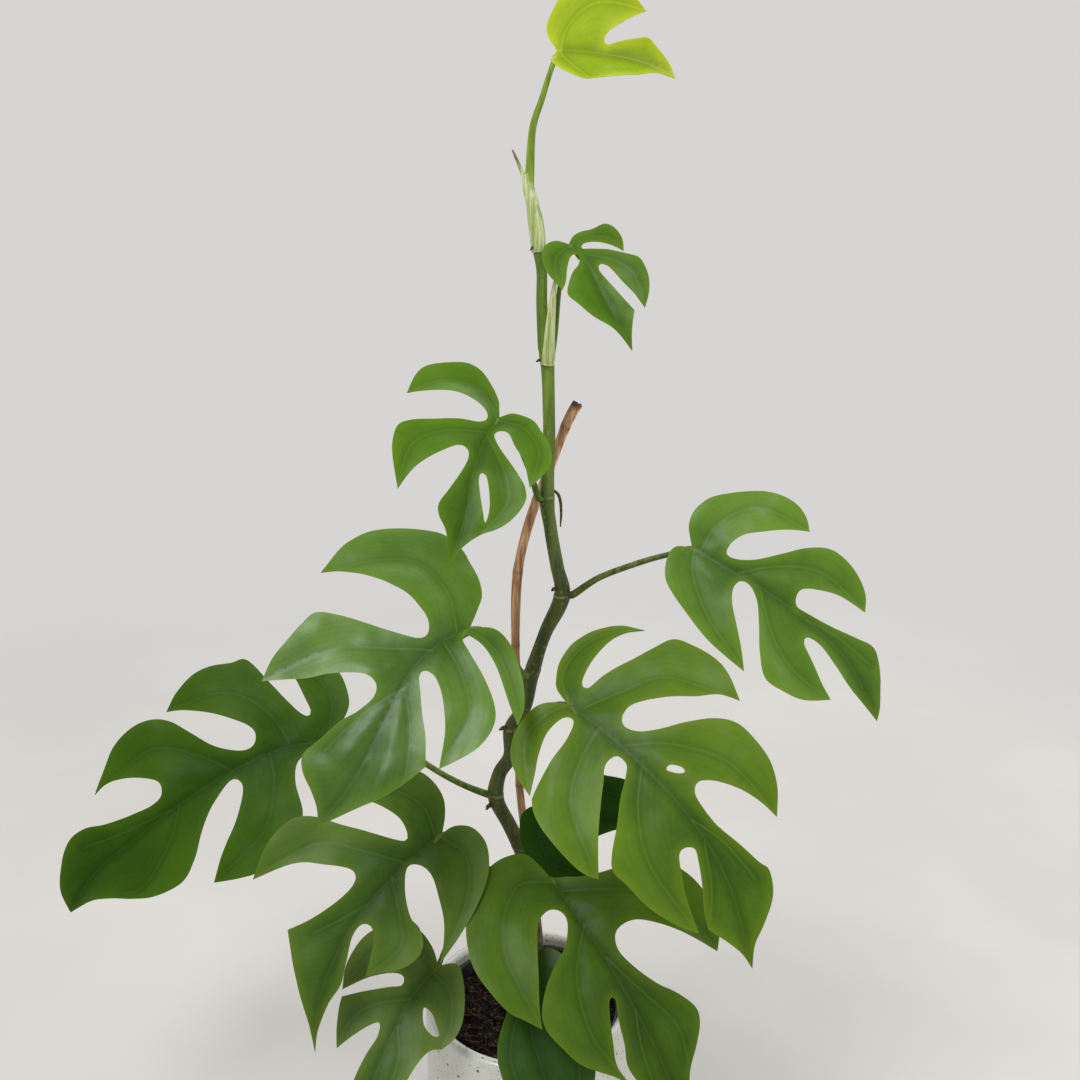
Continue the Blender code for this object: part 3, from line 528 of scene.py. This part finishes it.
def leaf_upper(name, dark, light, gloss):
    """Waxy upper side: even green, with painted shade in the grooves along the ribs and towards the
    midrib, painted sunlight along the lobes' edges, and a thin pale margin.
    """
    s = Surface(name, coat=gloss * 0.4, specular=0.08 + gloss * 0.5)
    rib, mid, bands = s.veins()
    rim = s.attribute("rim")
    small = s.grain(240)
    # random mottling, plus a tone that runs darker towards the midrib as painted shade
    tone = s.plus(s.ramp(s.grain(20), 0.30, 0.70, 0.25, 0.70), s.ramp(mid, 0.0, 45.0, -0.22, 0.28))
    tone = s.plus(tone, bands, 0.03)
    tone = s.plus(tone, s.maths("SUBTRACT", small, 0.5), 0.22, clamp=True)
    # painted shade and painted sunlight: a darker and a yellower copy of the leaf's own tones
    painted_shade = [c * 0.74 for c in dark]
    painted_sunlight = (light[0] * 1.14, light[1] * 1.04, light[2] * 0.8)
    pale = [min(255, c * 1.06 + 4) for c in light]
    s.colour = s.mix(tone, linear(dark), linear(light))
    # painted shade along the ribs and midrib, painted sunlight along the margin, then pale veins and a
    # thin pale rim, which are the leaf's own colour
    for rgb, near, low, high, share in (
            (painted_shade, rib, 0.0, 5.5, 0.28), (painted_shade, mid, 0.0, 6.0, 0.52),
            (painted_sunlight, rim, 0.0, 6.0, 0.38), (pale, rib, 0.10, 0.80, 0.26),
            (pale, mid, 0.20, 0.65, 0.15), (pale, rim, 0.0, 0.9, 0.30)):
        s.tint(rgb, near, low, high, share, 0.0)
    relief = s.plus(s.plus(s.times(bands, 0.06), s.grain(900, 2.0), 0.25), small, 0.35)
    return s.finish(relief, 0.00035, 0.4,
                    s.ramp(small, 0.3, 0.7, 0.42 - gloss * 0.25, 0.52 - gloss * 0.25))


def leaf_under(name, light):
    """Matt, paler underside with raised pale ribs."""
    s = Surface(name, roughness=0.62, specular=0.35)
    back = [c * 0.92 + 22 for c in light]
    deep = [c * 0.74 + 12 for c in light]
    pale = [min(255, c * 1.15 + 34) for c in light]
    rib, mid, bands = s.veins()
    s.colour = s.blend(s.grain(30, 4.0), deep, back)
    s.tint(deep, bands, 0.2, 1.0, 0.0, 0.22)
    s.tint(pale, rib, 0.2, 0.9, 0.7, 0.0)
    s.tint(pale, mid, 0.8, 1.8, 0.85, 0.0)
    return s.finish(s.plus(s.grain(260, 4.0), bands, 0.3), 0.0003, 0.2)


def stem_surface():
    """Green stem: streaked, browner low down, paler high up, pale scars at the nodes."""
    s = Surface("stem_skin", specular=0.3)
    streak = s.grain(160, 4.0, stretch=0.12)
    spots = s.grain(420)
    z = s.height()
    ring = s.attribute("ring")
    low = s.blend(streak, (42, 56, 16), (80, 90, 36))
    high = s.blend(streak, (70, 98, 20), (112, 138, 46))
    s.colour = s.mix(s.ramp(z, 0.36, 0.52), low, high)
    brown = s.times(s.ramp(s.grain(70, 4.0), 0.50, 0.66), s.ramp(z, 0.42, 0.24))
    s.cover(s.times(brown, 0.7), (104, 84, 48))
    s.tint((142, 132, 92), spots, 0.62, 0.70, 0.0, 0.5)
    scar = s.times(s.ramp(ring, 0.3, 1.1, 0.55, 0.0), s.ramp(s.grain(220), 0.42, 0.62))
    s.cover(scar, (150, 146, 96))
    edge = s.times(s.ramp(ring, 0.9, 1.5), s.ramp(ring, 3.0, 1.8))
    s.cover(s.times(edge, 0.35), (62, 58, 30))
    return s.finish(s.plus(streak, spots, 0.6), 0.0009, 0.7)


def stalk_surface(name, dark, light):
    """Smooth green leaf stalk with fine lengthwise lines and a paler knee."""
    s = Surface(name, roughness=0.45, specular=0.25)
    lines = s.grain(300, stretch=0.18)
    knee = (light[0] * 0.80, light[1] * 0.92, light[2] * 0.65)
    s.colour = s.blend(lines, dark, light)
    s.tint(knee, s.attribute("ring"), 4.0, 12.0, 0.8, 0.0)
    return s.finish(s.plus(lines, s.grain(1500, 2.0)), 0.0003, 0.3)


def cane_surface():
    """Dry tan cane: fibrous streaks, dark nodes and a dark cut end."""
    s = Surface("dry_bark", roughness=0.78, specular=0.3)
    streak = s.grain(420, 5.0, stretch=0.06)
    s.colour = s.blend(streak, (138, 96, 64), (208, 168, 126), 0.32, 0.68)
    s.tint((128, 80, 52), s.grain(60, 4.0), 0.52, 0.72, 0.0, 0.5)
    s.tint((96, 62, 42), s.attribute("ring"), 0.4, 1.8, 0.40, 0.0)
    s.tint((58, 42, 34), s.height(), 0.4815, 0.4875)
    return s.finish(streak, 0.0016, 0.9)


def root_surface():
    """Dark brown, corky root skin."""
    s = Surface("root_skin", roughness=0.85, specular=0.25)
    grain = s.grain(700, 4.0)
    s.colour = s.blend(grain, (46, 36, 24), (104, 86, 58))
    return s.finish(grain, 0.0006, 0.9)


def sheath_surface():
    """Papery cream sheath with green veins and browned, dry patches and tip."""
    s = Surface("sheath_paper", roughness=0.6, specular=0.3)
    lines = s.grain(700, stretch=0.05)
    s.colour = s.blend(lines, (140, 158, 92), (196, 204, 150), 0.35, 0.65)
    s.tint((160, 150, 98), s.grain(90), 0.58, 0.74, 0.0, 0.35)
    s.tint((112, 92, 58), s.height(), 0.616, 0.622)
    return s.finish(lines, 0.0007, 0.7)


def ceramic_surface():
    """Off-white glaze, given a little greyer than white as painted shade, with small dark specks of
    several sizes and a faint orange peel.
    """
    s = Surface("speckled_glaze", roughness=0.32, coat=0.25)
    cloud = s.grain(22)
    # base tone: off-white glaze, made a little greyer as painted shade on the pot
    s.colour = s.blend(cloud, (194, 195, 186), (212, 212, 204))
    for scale, size, dark in ((170, 0.20, (70, 62, 50)), (420, 0.26, (88, 80, 64)),
                              (900, 0.30, (128, 120, 102))):
        near, chance = s.cells(scale, 0)
        reach = s.plus(s.ramp(chance, 0.45, 1.0, 0.0, size), 0.045)
        speck = s.maths("LESS_THAN", s.plus(near, s.grain(2600, 2.0), 0.10), reach)
        s.cover(s.times(speck, 0.9), dark)
    return s.finish(s.grain(160, 2.0), 0.0004, 0.25, s.ramp(cloud, 0.3, 0.7, 0.28, 0.40))


def liner_surface():
    """Matt dark nursery pot plastic, a little dusty."""
    s = Surface("nursery_plastic", roughness=0.55, specular=0.4)
    dust = s.grain(120, 4.0)
    s.colour = linear((30, 32, 30))
    s.tint((72, 70, 62), dust, 0.45, 0.75, 0.0, 0.6)
    return s.finish(s.grain(1400), 0.0003, 0.5, s.ramp(dust, 0.3, 0.7, 0.45, 0.7))


def soil_surface(name, dark, light):
    """Damp, crumbly potting soil in the colours given; for the mix and its crumbs these are darker than
    damp soil, as painted shade inside the pot.
    """
    s = Surface(name, roughness=0.95, specular=0.2)
    crumbs, pick = s.cells(620, 1)
    grain = s.grain(300, 6.0, 0.7)
    s.colour = s.blend(grain, dark, light, 0.35, 0.7)
    s.tint((112, 90, 64), pick, 0.86, 0.95, 0.0, 0.5)
    return s.finish(s.plus(grain, crumbs), 0.0018, 1.0)


# -------- building pieces
def new_object(name, data):
    obj = bpy.data.objects.new(name, data)
    bpy.context.scene.collection.objects.link(obj)
    return obj


def piece(name, slot, nodes, verts_mm, faces, *materials, values=(), crease=50):
    """A visible piece on the plant's one body, which stands for the CAD nodes named.

    Points are in millimetres; values are named lists with one number for each point.
    """
    mesh = bpy.data.meshes.new(name)
    mesh.from_pydata([Vector(v) * MM for v in verts_mm], [], faces)
    for key, numbers in dict(values).items():
        layer = mesh.attributes.new(key, "FLOAT", "POINT")
        layer.data.foreach_set("value", np.asarray(numbers, dtype=np.float32))
    for polygon in mesh.polygons:
        polygon.use_smooth = True
    mesh.set_sharp_from_angle(angle=radians(crease))
    for material in materials:
        mesh.materials.append(material)
    obj = new_object(name, mesh)
    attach(obj, "root")
    if nodes:
        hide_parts(*nodes)
    return obj


def quads(rings, sides, start=0):
    """Faces between closed rings of points that follow one another."""
    faces = []
    for a in range(start, start + (rings - 1) * sides, sides):
        for k in range(sides):
            n = (k + 1) % sides
            faces.append((a + k, a + n, a + sides + n, a + sides + k))
    return faces


def fan(start, sides, centre, turned=False):
    """Triangles from the ring that begins at `start` to one point."""
    pairs = [(start + k, start + (k + 1) % sides) for k in range(sides)]
    return [(b, a, centre) if turned else (a, b, centre) for a, b in pairs]


def tube_mesh(stations, sides, step, shape=None):
    """Points, faces, distances and path of a rod; shape(angle, s) scales the radius."""
    path = spline([Vector(s) for s in stations], step)
    verts = []
    along = []
    travel = 0.0
    for i, (side, other) in enumerate(frames(path, (0, -1, 0.01))):
        spot = path[i]
        if i:
            travel += (spot.xyz - path[i - 1].xyz).length
        for k in range(sides):
            angle = TURN * k / sides
            r = spot.w * (shape(angle, travel) if shape else 1.0)
            verts.append(spot.xyz + (side * cos(angle) + other * sin(angle)) * r)
            along.append(travel)
    faces = quads(len(path), sides)
    for start, reach in ((0, 0.0), (len(verts) - sides, travel)):
        verts.append(sum(verts[start:start + sides], Vector()) / sides)
        along.append(reach)
        faces += fan(start, sides, len(verts) - 1, turned=not start)
    return verts, faces, along, path


def merged(parts):
    """Several (points, faces) lists as one."""
    verts = []
    faces = []
    for points, polygons in parts:
        first = len(verts)
        verts += points
        faces += [tuple(i + first for i in polygon) for polygon in polygons]
    return verts, faces


def revolve(profile, sides):
    """Points and faces of revolution about Z; profile runs (r, z) from axis to axis."""
    rings = profile[1:-1]
    verts = [(0, 0, profile[0][1])]
    verts += [(*polar(r, TURN * k / sides), z) for r, z in rings for k in range(sides)]
    verts.append((0, 0, profile[-1][1]))
    faces = fan(1, sides, 0, turned=True) + quads(len(rings), sides, 1)
    return verts, faces + fan(len(verts) - 1 - sides, sides, len(verts) - 1)


def arc(cx, cz, radius, start, end, pieces):
    """Points of an arc in a profile, angles in degrees."""
    angles = [radians(start + (end - start) * i / pieces) for i in range(pieces + 1)]
    return [(cx + radius * cos(a), cz + radius * sin(a)) for a in angles]


# -------- leaves
def blade_plan(leaf, veins):
    """Triangulated outline with veins as edges: points, triangles and the outline's points."""
    loops = [read_outline(leaf[key]) for key in ("edge", "hole") if key in leaf]
    flat = []
    edges = []
    for loop in loops:
        first = len(flat)
        flat += loop
        edges += [(first + i, first + (i + 1) % len(loop)) for i in range(len(loop))]
    rim = np.array(flat)
    for vein in veins:
        keep = inside(vein, loops[0])
        for i in range(len(vein) - 1):
            if keep[i] and keep[i + 1]:
                flat += [tuple(vein[i]), tuple(vein[i + 1])]
                edges.append((len(flat) - 2, len(flat) - 1))
    low = rim.min(0)
    high = rim.max(0)
    rows = np.arange(low[1], high[1], ROW_STEP)
    columns = np.arange(low[0], high[0], GRID_STEP)
    grid = np.array([(u + (i % 2) * GRID_STEP / 2, v)
                     for i, v in enumerate(rows) for u in columns])
    tree = search_tree(flat)
    for (u, v), good in zip(grid, on_blade(grid, loops)):
        if good and tree.find((u, v, 0))[2] > GRID_STEP * 0.45:
            flat.append((u, v))
    out = delaunay_2d_cdt([Vector(p) for p in flat], edges, [], 0, 1e-4)
    points = np.array([(p.x, p.y) for p in out[0]])
    triangles = np.array(out[2])
    return points, triangles[on_blade(points[triangles].mean(axis=1), loops)], rim


def blade(number):
    """Leaf blade: sunken veins above, raised ribs below, thin edge, gentle waves."""
    leaf = LEAVES[number]
    veins = [read_vein(text) for text in VEINS[number].split("/")]
    points, skin, rim = blade_plan(leaf, veins)
    mid = distance(points, veins[0])
    rib = np.min([distance(points, vein) for vein in veins[1:]], axis=0)
    tree = search_tree(rim)
    margin = np.array([tree.find((u, v, 0))[2] for u, v in points])
    shape = BladeFrame(leaf)
    taper = np.clip(1.05 - points[:, 1] / shape.length, 0.15, 1.0)
    near = np.minimum(rib, mid)
    top = (QUILT * (1 - np.exp(-(near / FLAT_SPREAD) ** 2))
           + WAVE * field(points, 26, number * 7.3) * np.clip(mid / 14, 0, 1)
           + RIPPLE * field(points, 9, number * 3.1))
    top -= 0.35 * np.exp(-(mid / 1.2) ** 2) + 0.12 * np.exp(-(rib / RIB) ** 2)
    keel = KEEL * taper * np.exp(-(mid / MIDRIB) ** 2) + 0.35 * np.exp(-(rib / RIB) ** 2)
    thin = BLADE_THICKNESS * np.clip(0.5 + margin / 3, 0.5, 1.0)
    verts = [shape.point(u, v, h) for level in (top, top - thin - keel)
             for (u, v), h in zip(points, level)]
    count = len(points)
    faces = [tuple(int(i) for i in reversed(t)) for t in skin]
    faces += [tuple(int(i) + count for i in t) for t in skin]
    border = {(int(t[i]), int(t[(i + 1) % 3])) for t in skin for i in range(3)}
    faces += [(a, b, b + count, a + count) for a, b in border if (b, a) not in border]
    dark, light = TONES[number]
    skins = [leaf_upper(f"leaf_upper_{number:02d}", dark, light, GLOSS.get(number, 0.1)),
             leaf_under(f"leaf_under_{number:02d}", light)]
    obj = piece(f"blade_{number:02d}", "young_leaf" if number == 1 else "leaf",
                [f"leaf_{number:02d}"], verts, faces, *skins,
                values={"rib": np.tile(rib, 2), "mid": np.tile(mid, 2), "rim": np.tile(margin, 2)})
    for polygon in obj.data.polygons[len(skin):2 * len(skin)]:
        polygon.material_index = 1


def stalk(number, material):
    """Leaf stalk: clasps the stem, thins out, swells at the knee and runs into the rib."""
    leaf = LEAVES[number]
    start, end, points = STALKS[number]
    shape = BladeFrame(leaf)
    u, v = leaf["notch"]
    goal = shape.point(u, v + 0.5, -(0.6 + end * 1.25) / shape.size)
    beyond = shape.point(u * 0.6, v + KNEE, -1.6)
    chain = [Vector(p) for p in points] + [goal]
    first = chain[0]
    if number > 1:
        axis = min((p.xyz for p in spline([Vector(s) for s in STEM], 2.0)),
                   key=lambda p: (p - first).length)
        inner = axis.lerp(first, 0.25)
    else:
        inner = Vector((1.0, 43.0, 606.0))
    last = len(chain) - 1
    stations = [(*inner, start * 1.25), (*first, start * 1.15)]
    for i, p in enumerate(chain[1:], 1):
        r = start + (end - start) * i / last
        stations.append((*p, r * (1.12 if i == last else 1.0)))
    stations.append((*beyond, 0.55))
    total = sum((Vector(b[:3]) - Vector(a[:3])).length for a, b in zip(stations, stations[1:]))
    knee = total - KNEE

    def groove(angle, s):
        swelling = 1 + 0.22 * exp(-((s - knee) / 5) ** 2)
        return swelling * (1 - 0.10 * max(0.0, cos(angle - pi / 2)) ** 6)

    verts, faces, along, _ = tube_mesh(stations, 18, 2.5, groove)
    piece(f"petiole_{number:02d}", "stalk", [f"stalk_{number:02d}"], verts, faces, material,
          values={"ring": [abs(s - knee) for s in along]})


# -------- stem, roots, sheaths
def stem(material):
    """Climbing stem, slightly angular, swollen and ringed where leaves grew."""
    stations = [(1, 2, SOIL_TOP - 6, 5.1)] + STEM + [(5.4, 41.2, 580, 2.6)]

    def ridges(angle, s):
        return 1 + 0.05 * cos(3 * angle + s / 60) + 0.08 * skin_noise(angle, 0.8, s / 22)

    verts, faces, _, path = tube_mesh(stations, 32, 1.0, ridges)
    centre_of = [min(path, key=lambda p, z=v.z: abs(p.z - z)).xyz for v in verts]
    ring = []
    for i, (v, centre) in enumerate(zip(verts, centre_of)):
        gap = min((v.z - h for h in NODE_HEIGHTS), key=abs)
        ring.append(abs(gap))
        lift = 0.22 * exp(-(gap / 1.1) ** 2) + 0.35 * exp(-(gap / 7) ** 2)
        lift -= 0.14 * exp(-((gap - 2.0) / 0.7) ** 2)
        out = v - centre
        out.z = 0
        if out.length > 0.5:
            verts[i] = v + out.normalized() * lift
    piece("stem", "stem", ["main_stem"], verts, faces, material, values={"ring": ring})


def root_stubs(material):
    """Short brown aerial root stumps at the nodes, each a bent, tapering peg."""
    parts = []
    for i, (start, way, length, r) in enumerate(ROOT_STUBS):
        base = Vector(start)
        aim = Vector(way).normalized()
        sag = Vector((0.1, 0, -0.35 + 0.1 * (i % 3)))
        chain = [(*(base - aim * 1.5), r * 1.2), (*(base + aim * length * 0.4), r),
                 (*(base + (aim + sag) * length * 0.75), r * 0.7),
                 (*(base + (aim + sag) * length), r * 0.25)]
        parts.append(tube_mesh(chain, 12, 0.6, lambda angle, s, seed=i: (
            1 + 0.25 * skin_noise(angle, 1, s + seed)))[:2])
    piece("root_stubs", "root", [], *merged(parts), material)


def hanging_root(material):
    """Thin root that leaves a node sideways and hangs down."""
    verts, faces, _, _ = tube_mesh(HANGING_ROOT, 14, 0.7, lambda angle, s: (
        1 + 0.2 * skin_noise(angle, 1, s / 2)))
    piece("hanging_root", "root", ["aerial_root"], verts, faces, material)


def cane(material):
    """Old cane: fibrous ridges, nodes, a bend and a ragged hollow cut."""
    sides = 28

    def from_node(s):
        return (s + 12) % CANE_NODES - CANE_NODES / 2

    def ridges(angle, s):
        return (1 + 0.05 * cos(7 * angle + s / 50) + 0.20 * skin_noise(angle, 1.5, s / 30)
                + 0.09 * exp(-(from_node(s) / 2.4) ** 2))

    verts, faces, along, path = tube_mesh(CANE, sides, 1.4, ridges)
    lip = (len(path) - 1) * sides
    aim = (path[-1].xyz - path[-2].xyz).normalized()
    for k in range(sides):
        verts[lip + k] += aim * 1.1 * noise.noise(Vector((k * 0.9, 3.0, 0)))
    verts[-1] = verts[-1] - aim * 2.0
    piece("cane", "dry_wood", ["dry_cane"], verts, faces, material,
          values={"ring": [abs(from_node(s)) for s in along]})


def wrap(name, stations, spiral, material, node):
    """Papery sheath: a sheet rolled round the path, one edge lapping over the other."""
    sheet = 0.25
    columns = 40
    first = 20
    last = 400
    path = spline([Vector(s) for s in stations], 0.8)
    verts = []
    for i, (side, other) in enumerate(frames(path, (0, -1, 0))):
        spot = path[i]
        ring = [(k, 0.0) for k in range(columns + 1)]
        for k, inset in ring + [(k, sheet) for k, _ in ring[::-1]]:
            t = k / columns
            angle = radians(first + (last - first) * t)
            crinkle = 0.05 * noise.noise(Vector((t * 9, i / 9, 2.0)))
            r = spot.w * (1 + spiral * t + crinkle + 0.02 * cos(22 * angle)) - inset
            verts.append(spot.xyz + (side * cos(angle) + other * sin(angle)) * max(r, 0.12))
    row = 2 * (columns + 1)
    faces = quads(len(path), row)
    for start, turned in ((0, True), (len(verts) - row, False)):
        for k in range(start, start + columns):
            opposite = 2 * start + row - 1 - k
            quad = (k, k + 1, opposite - 1, opposite)
            faces.append(quad[::-1] if turned else quad)
    piece(name, "sheath", [node], verts, faces, material)


def bud(material):
    """Dried tip that stands on the top sheath."""
    verts, faces, _, _ = tube_mesh(BUD_TIP, 14, 0.7, lambda angle, s: (
        1 + 0.15 * cos(3 * angle + s / 2)))
    piece("bud", "root", ["bud_tip"], verts, faces, material)


# -------- pot and soil
def pot(material):
    """Thick straight ceramic wall with a soft round lip and a plain foot ring."""
    r = POT_RADIUS
    inner = r - POT_WALL
    lip = POT_WALL / 2
    profile = [(0, 1.5), (r - 12, 1.5), (r - 10, 0), (r - 4, 0)]
    profile += arc(r - 4, 4, 4, -90, 0, 8)[1:]
    profile += [(r, z) for z in (20, 40, 60, 80, 100)]
    profile += arc(r - lip, POT_HEIGHT - lip, lip, 0, 180, 20)
    profile += arc(inner - 5, POT_FLOOR + 5, 5, 0, -90, 6) + [(0, POT_FLOOR)]
    piece("pot", "ceramic", ["cover_pot"], *revolve(profile, 192), material)


def liner(material):
    """Thin nursery pot with a rolled lip, standing inside the cover pot."""
    outer = POT_RADIUS - POT_WALL - LINER_GAP
    foot = outer - 9
    floor = POT_FLOOR + 0.5
    w = LINER_WALL
    profile = [(0, floor), (foot, floor), (outer - 1.6, LINER_TOP - 7)]
    profile += arc(outer - 1.3, LINER_TOP - 1.3, 1.3, -60, 180, 12)
    profile += [(outer - w - 1.5, LINER_TOP - 6), (foot - w, floor + w), (0, floor + w)]
    piece("liner", "liner", ["nursery_pot"], *revolve(profile, 144), material)


def soil_height(x, y):
    """Height of the soil's surface, flat round the stems and lumpy elsewhere."""
    near = min(1.0, hypot(x - 2, y - 12) / 22)
    lump = 1.1 * sin(0.31 * x + 1.3) * cos(0.27 * y) + 0.8 * sin(0.55 * y + 0.4 * x)
    rough = noise.fractal(Vector((x / 7, y / 7, 1.0)), 0.8, 2.1, 5) * 1.1
    return SOIL_TOP - 0.3 + lump * near + rough


def soil(material):
    """Potting mix: a rough top, and a plug that narrows down to the liner's floor."""
    outer = POT_RADIUS - POT_WALL - LINER_GAP - LINER_WALL - 0.4
    low = POT_FLOOR + LINER_WALL + 1.0
    sides = 180
    rings = 62
    top = [polar(outer * (1 - i / rings), TURN * k / sides)
           for i in range(rings) for k in range(sides)] + [(0, 0)]
    verts = [(x, y, soil_height(x, y)) for x, y in top]
    base = len(verts)
    verts += [(*polar(outer - 9.5, TURN * k / sides), low) for k in range(sides)]
    verts.append((0, 0, low))
    faces = quads(rings, sides) + fan(base - 1 - sides, sides, base - 1)
    faces += fan(base, sides, base + sides, turned=True)
    for k in range(sides):
        n = (k + 1) % sides
        faces.append((k, base + k, base + n, n))
    piece("potting_mix", "soil", ["soil"], verts, faces, material, crease=180)


def crumbs(material):
    """Bark chips and crumbs lying on the soil: small, dented, irregular lumps."""
    rng = np.random.default_rng(12)
    outer = POT_RADIUS - POT_WALL - LINER_WALL - 4
    bands = 6
    around = 9
    rings = bands - 1
    faces = [face[::-1] for face in quads(rings, around)]
    faces += [tuple(range(around)), tuple(range(rings * around))[:-around - 1:-1]]
    parts = []
    for number in range(CRUMBS):
        r = outer * sqrt(rng.random())
        x, y = polar(r, rng.random() * TURN)
        size = 0.6 + 1.7 * rng.random() ** 3
        stretch = Vector((1 + rng.random(), 0.7 + 0.5 * rng.random(), 0.45 + 0.4 * rng.random()))
        turn = rng.random() * pi
        verts = []
        for i in range(1, bands):
            tilt = pi * i / bands
            for k in range(around):
                d = Vector((*polar(sin(tilt), TURN * k / around), cos(tilt)))
                dent = 1 + 0.45 * noise.noise(d * 1.6 + Vector((number, 0, 0)))
                p = Vector(d * stretch) * size * dent
                verts.append(Vector((x + p.x * cos(turn) - p.y * sin(turn),
                                     y + p.x * sin(turn) + p.y * cos(turn),
                                     soil_height(x, y) + size * 0.15 + p.z)))
        parts.append((verts, faces))
    piece("mix_crumbs", "soil", [], *merged(parts), material)


def fibres(material):
    """Coir fibres and rootlets curling on the soil."""
    rng = np.random.default_rng(5)
    spread = 46
    edge = 54
    stride = 2.6
    parts = []
    for _ in range(FIBRES):
        angle = rng.random() * TURN
        x, y = polar(spread * sqrt(rng.random()), angle)
        heading = rng.random() * TURN
        chain = []
        for i in range(5):
            lift = 0.25 + 1.0 * sin(pi * i / 4) * rng.random()
            chain.append((x, y, soil_height(x, y) + lift, 0.22 if i < 4 else 0.1))
            x += stride * cos(heading)
            y += stride * sin(heading)
            heading += rng.normal() * 0.6
        if max(hypot(p[0], p[1]) for p in chain) < edge:
            parts.append(tube_mesh(chain, 6, 0.9)[:2])
    piece("mix_fibres", "soil", [], *merged(parts), material)


# -------- the plant
root_skin = root_surface()
sheath_paper = sheath_surface()
young_stalk = stalk_surface("stalk_skin_young", (96, 122, 20), (136, 160, 52))
green_stalk = stalk_surface("stalk_skin", (58, 82, 14), (98, 124, 38))
lower_stalk = stalk_surface("stalk_skin_low", (56, 68, 18), (94, 104, 40))
pot(ceramic_surface())
liner(liner_surface())
# the mix and crumbs: dark damp soil, given darker still as painted shade inside the pot
soil(soil_surface("potting_mix", (8, 6, 4), (38, 29, 21)))
crumbs(soil_surface("bark_crumbs", (16, 12, 8), (66, 48, 34)))
fibres(soil_surface("coir_fibre", (74, 52, 34), (138, 104, 70)))
stem(stem_surface())
cane(cane_surface())
root_stubs(root_skin)
hanging_root(root_skin)
wrap("sheath_a", SHEATH_TOP, 0.16, sheath_paper, "sheath_top")
wrap("sheath_b", SHEATH_MID, 0.10, sheath_paper, "sheath_mid")
bud(sheath_paper)
for index in LEAVES:
    blade(index)
    stalk(index, young_stalk if index == 1 else lower_stalk if index > 5 else green_stalk)

# -------- stage, light, camera
FLOOR_HALF = 2.0
FADE_FROM = 0.45         # metres from the pot where the floor starts to fade out
FADE_TO = 1.5
BACKDROP = (214, 213, 211)


def studio_floor():
    """Pale matt floor that fades into the backdrop."""
    s = Surface("studio_floor", roughness=0.8, specular=0.2)
    s.colour = s.blend(s.grain(3.0), (196, 194, 190), (204, 202, 198))
    s.finish()
    reach = s.add("ShaderNodeVectorMath", {0: s.place}, operation="LENGTH").outputs["Value"]
    clear = s.add("ShaderNodeBsdfTransparent")
    fade = s.add("ShaderNodeMixShader", {0: s.ramp(reach, FADE_FROM, FADE_TO),
                                         1: s.shader.outputs[0], 2: clear.outputs[0]})
    s.feed(s.tree.nodes["Material Output"].inputs["Surface"], fade.outputs[0])
    f = FLOOR_HALF
    mesh = bpy.data.meshes.new("floor")
    mesh.from_pydata([(-f, -f, 0), (f, -f, 0), (f, f, 0), (-f, f, 0)], [], [(0, 1, 2, 3)])
    mesh.materials.append(s.material)
    new_object("floor", mesh)


def soft_light(name, spot, aim, size, watts):
    lamp = bpy.data.lights.new(name, "AREA")
    lamp.shape = "DISK"
    lamp.size = size
    lamp.energy = watts
    obj = new_object(name, lamp)
    obj.location = spot
    obj.rotation_euler = (Vector(aim) - Vector(spot)).to_track_quat("-Z", "Y").to_euler()


studio_floor()

bpy.context.scene.view_settings.view_transform = "Standard"
world = bpy.data.worlds.new("studio")
bpy.context.scene.world = world
world.use_nodes = True
world.node_tree.nodes["Background"].inputs["Color"].default_value = linear(BACKDROP)
world.node_tree.nodes["Background"].inputs["Strength"].default_value = 1.0

soft_light("window", (-0.6, -0.8, 1.9), (0, 0, 0.30), 0.9, 20)
soft_light("bounce", (1.3, -0.3, 1.1), (0, 0, 0.35), 1.2, 7)
soft_light("behind", (0.4, 1.3, 1.3), (0, 0, 0.35), 1.2, 8)

# the camera stands about 0.57 m in front of the plant and looks down
LOOK_DOWN = 15
camera_data = bpy.data.cameras.new("view")
camera_data.lens = 35.0
camera_data.sensor_width = 36.0
camera = new_object("view", camera_data)
camera.location = (0.007, -0.568, 0.5685)
camera.rotation_euler = (radians(90 - LOOK_DOWN), 0, 0)
bpy.context.scene.camera = camera
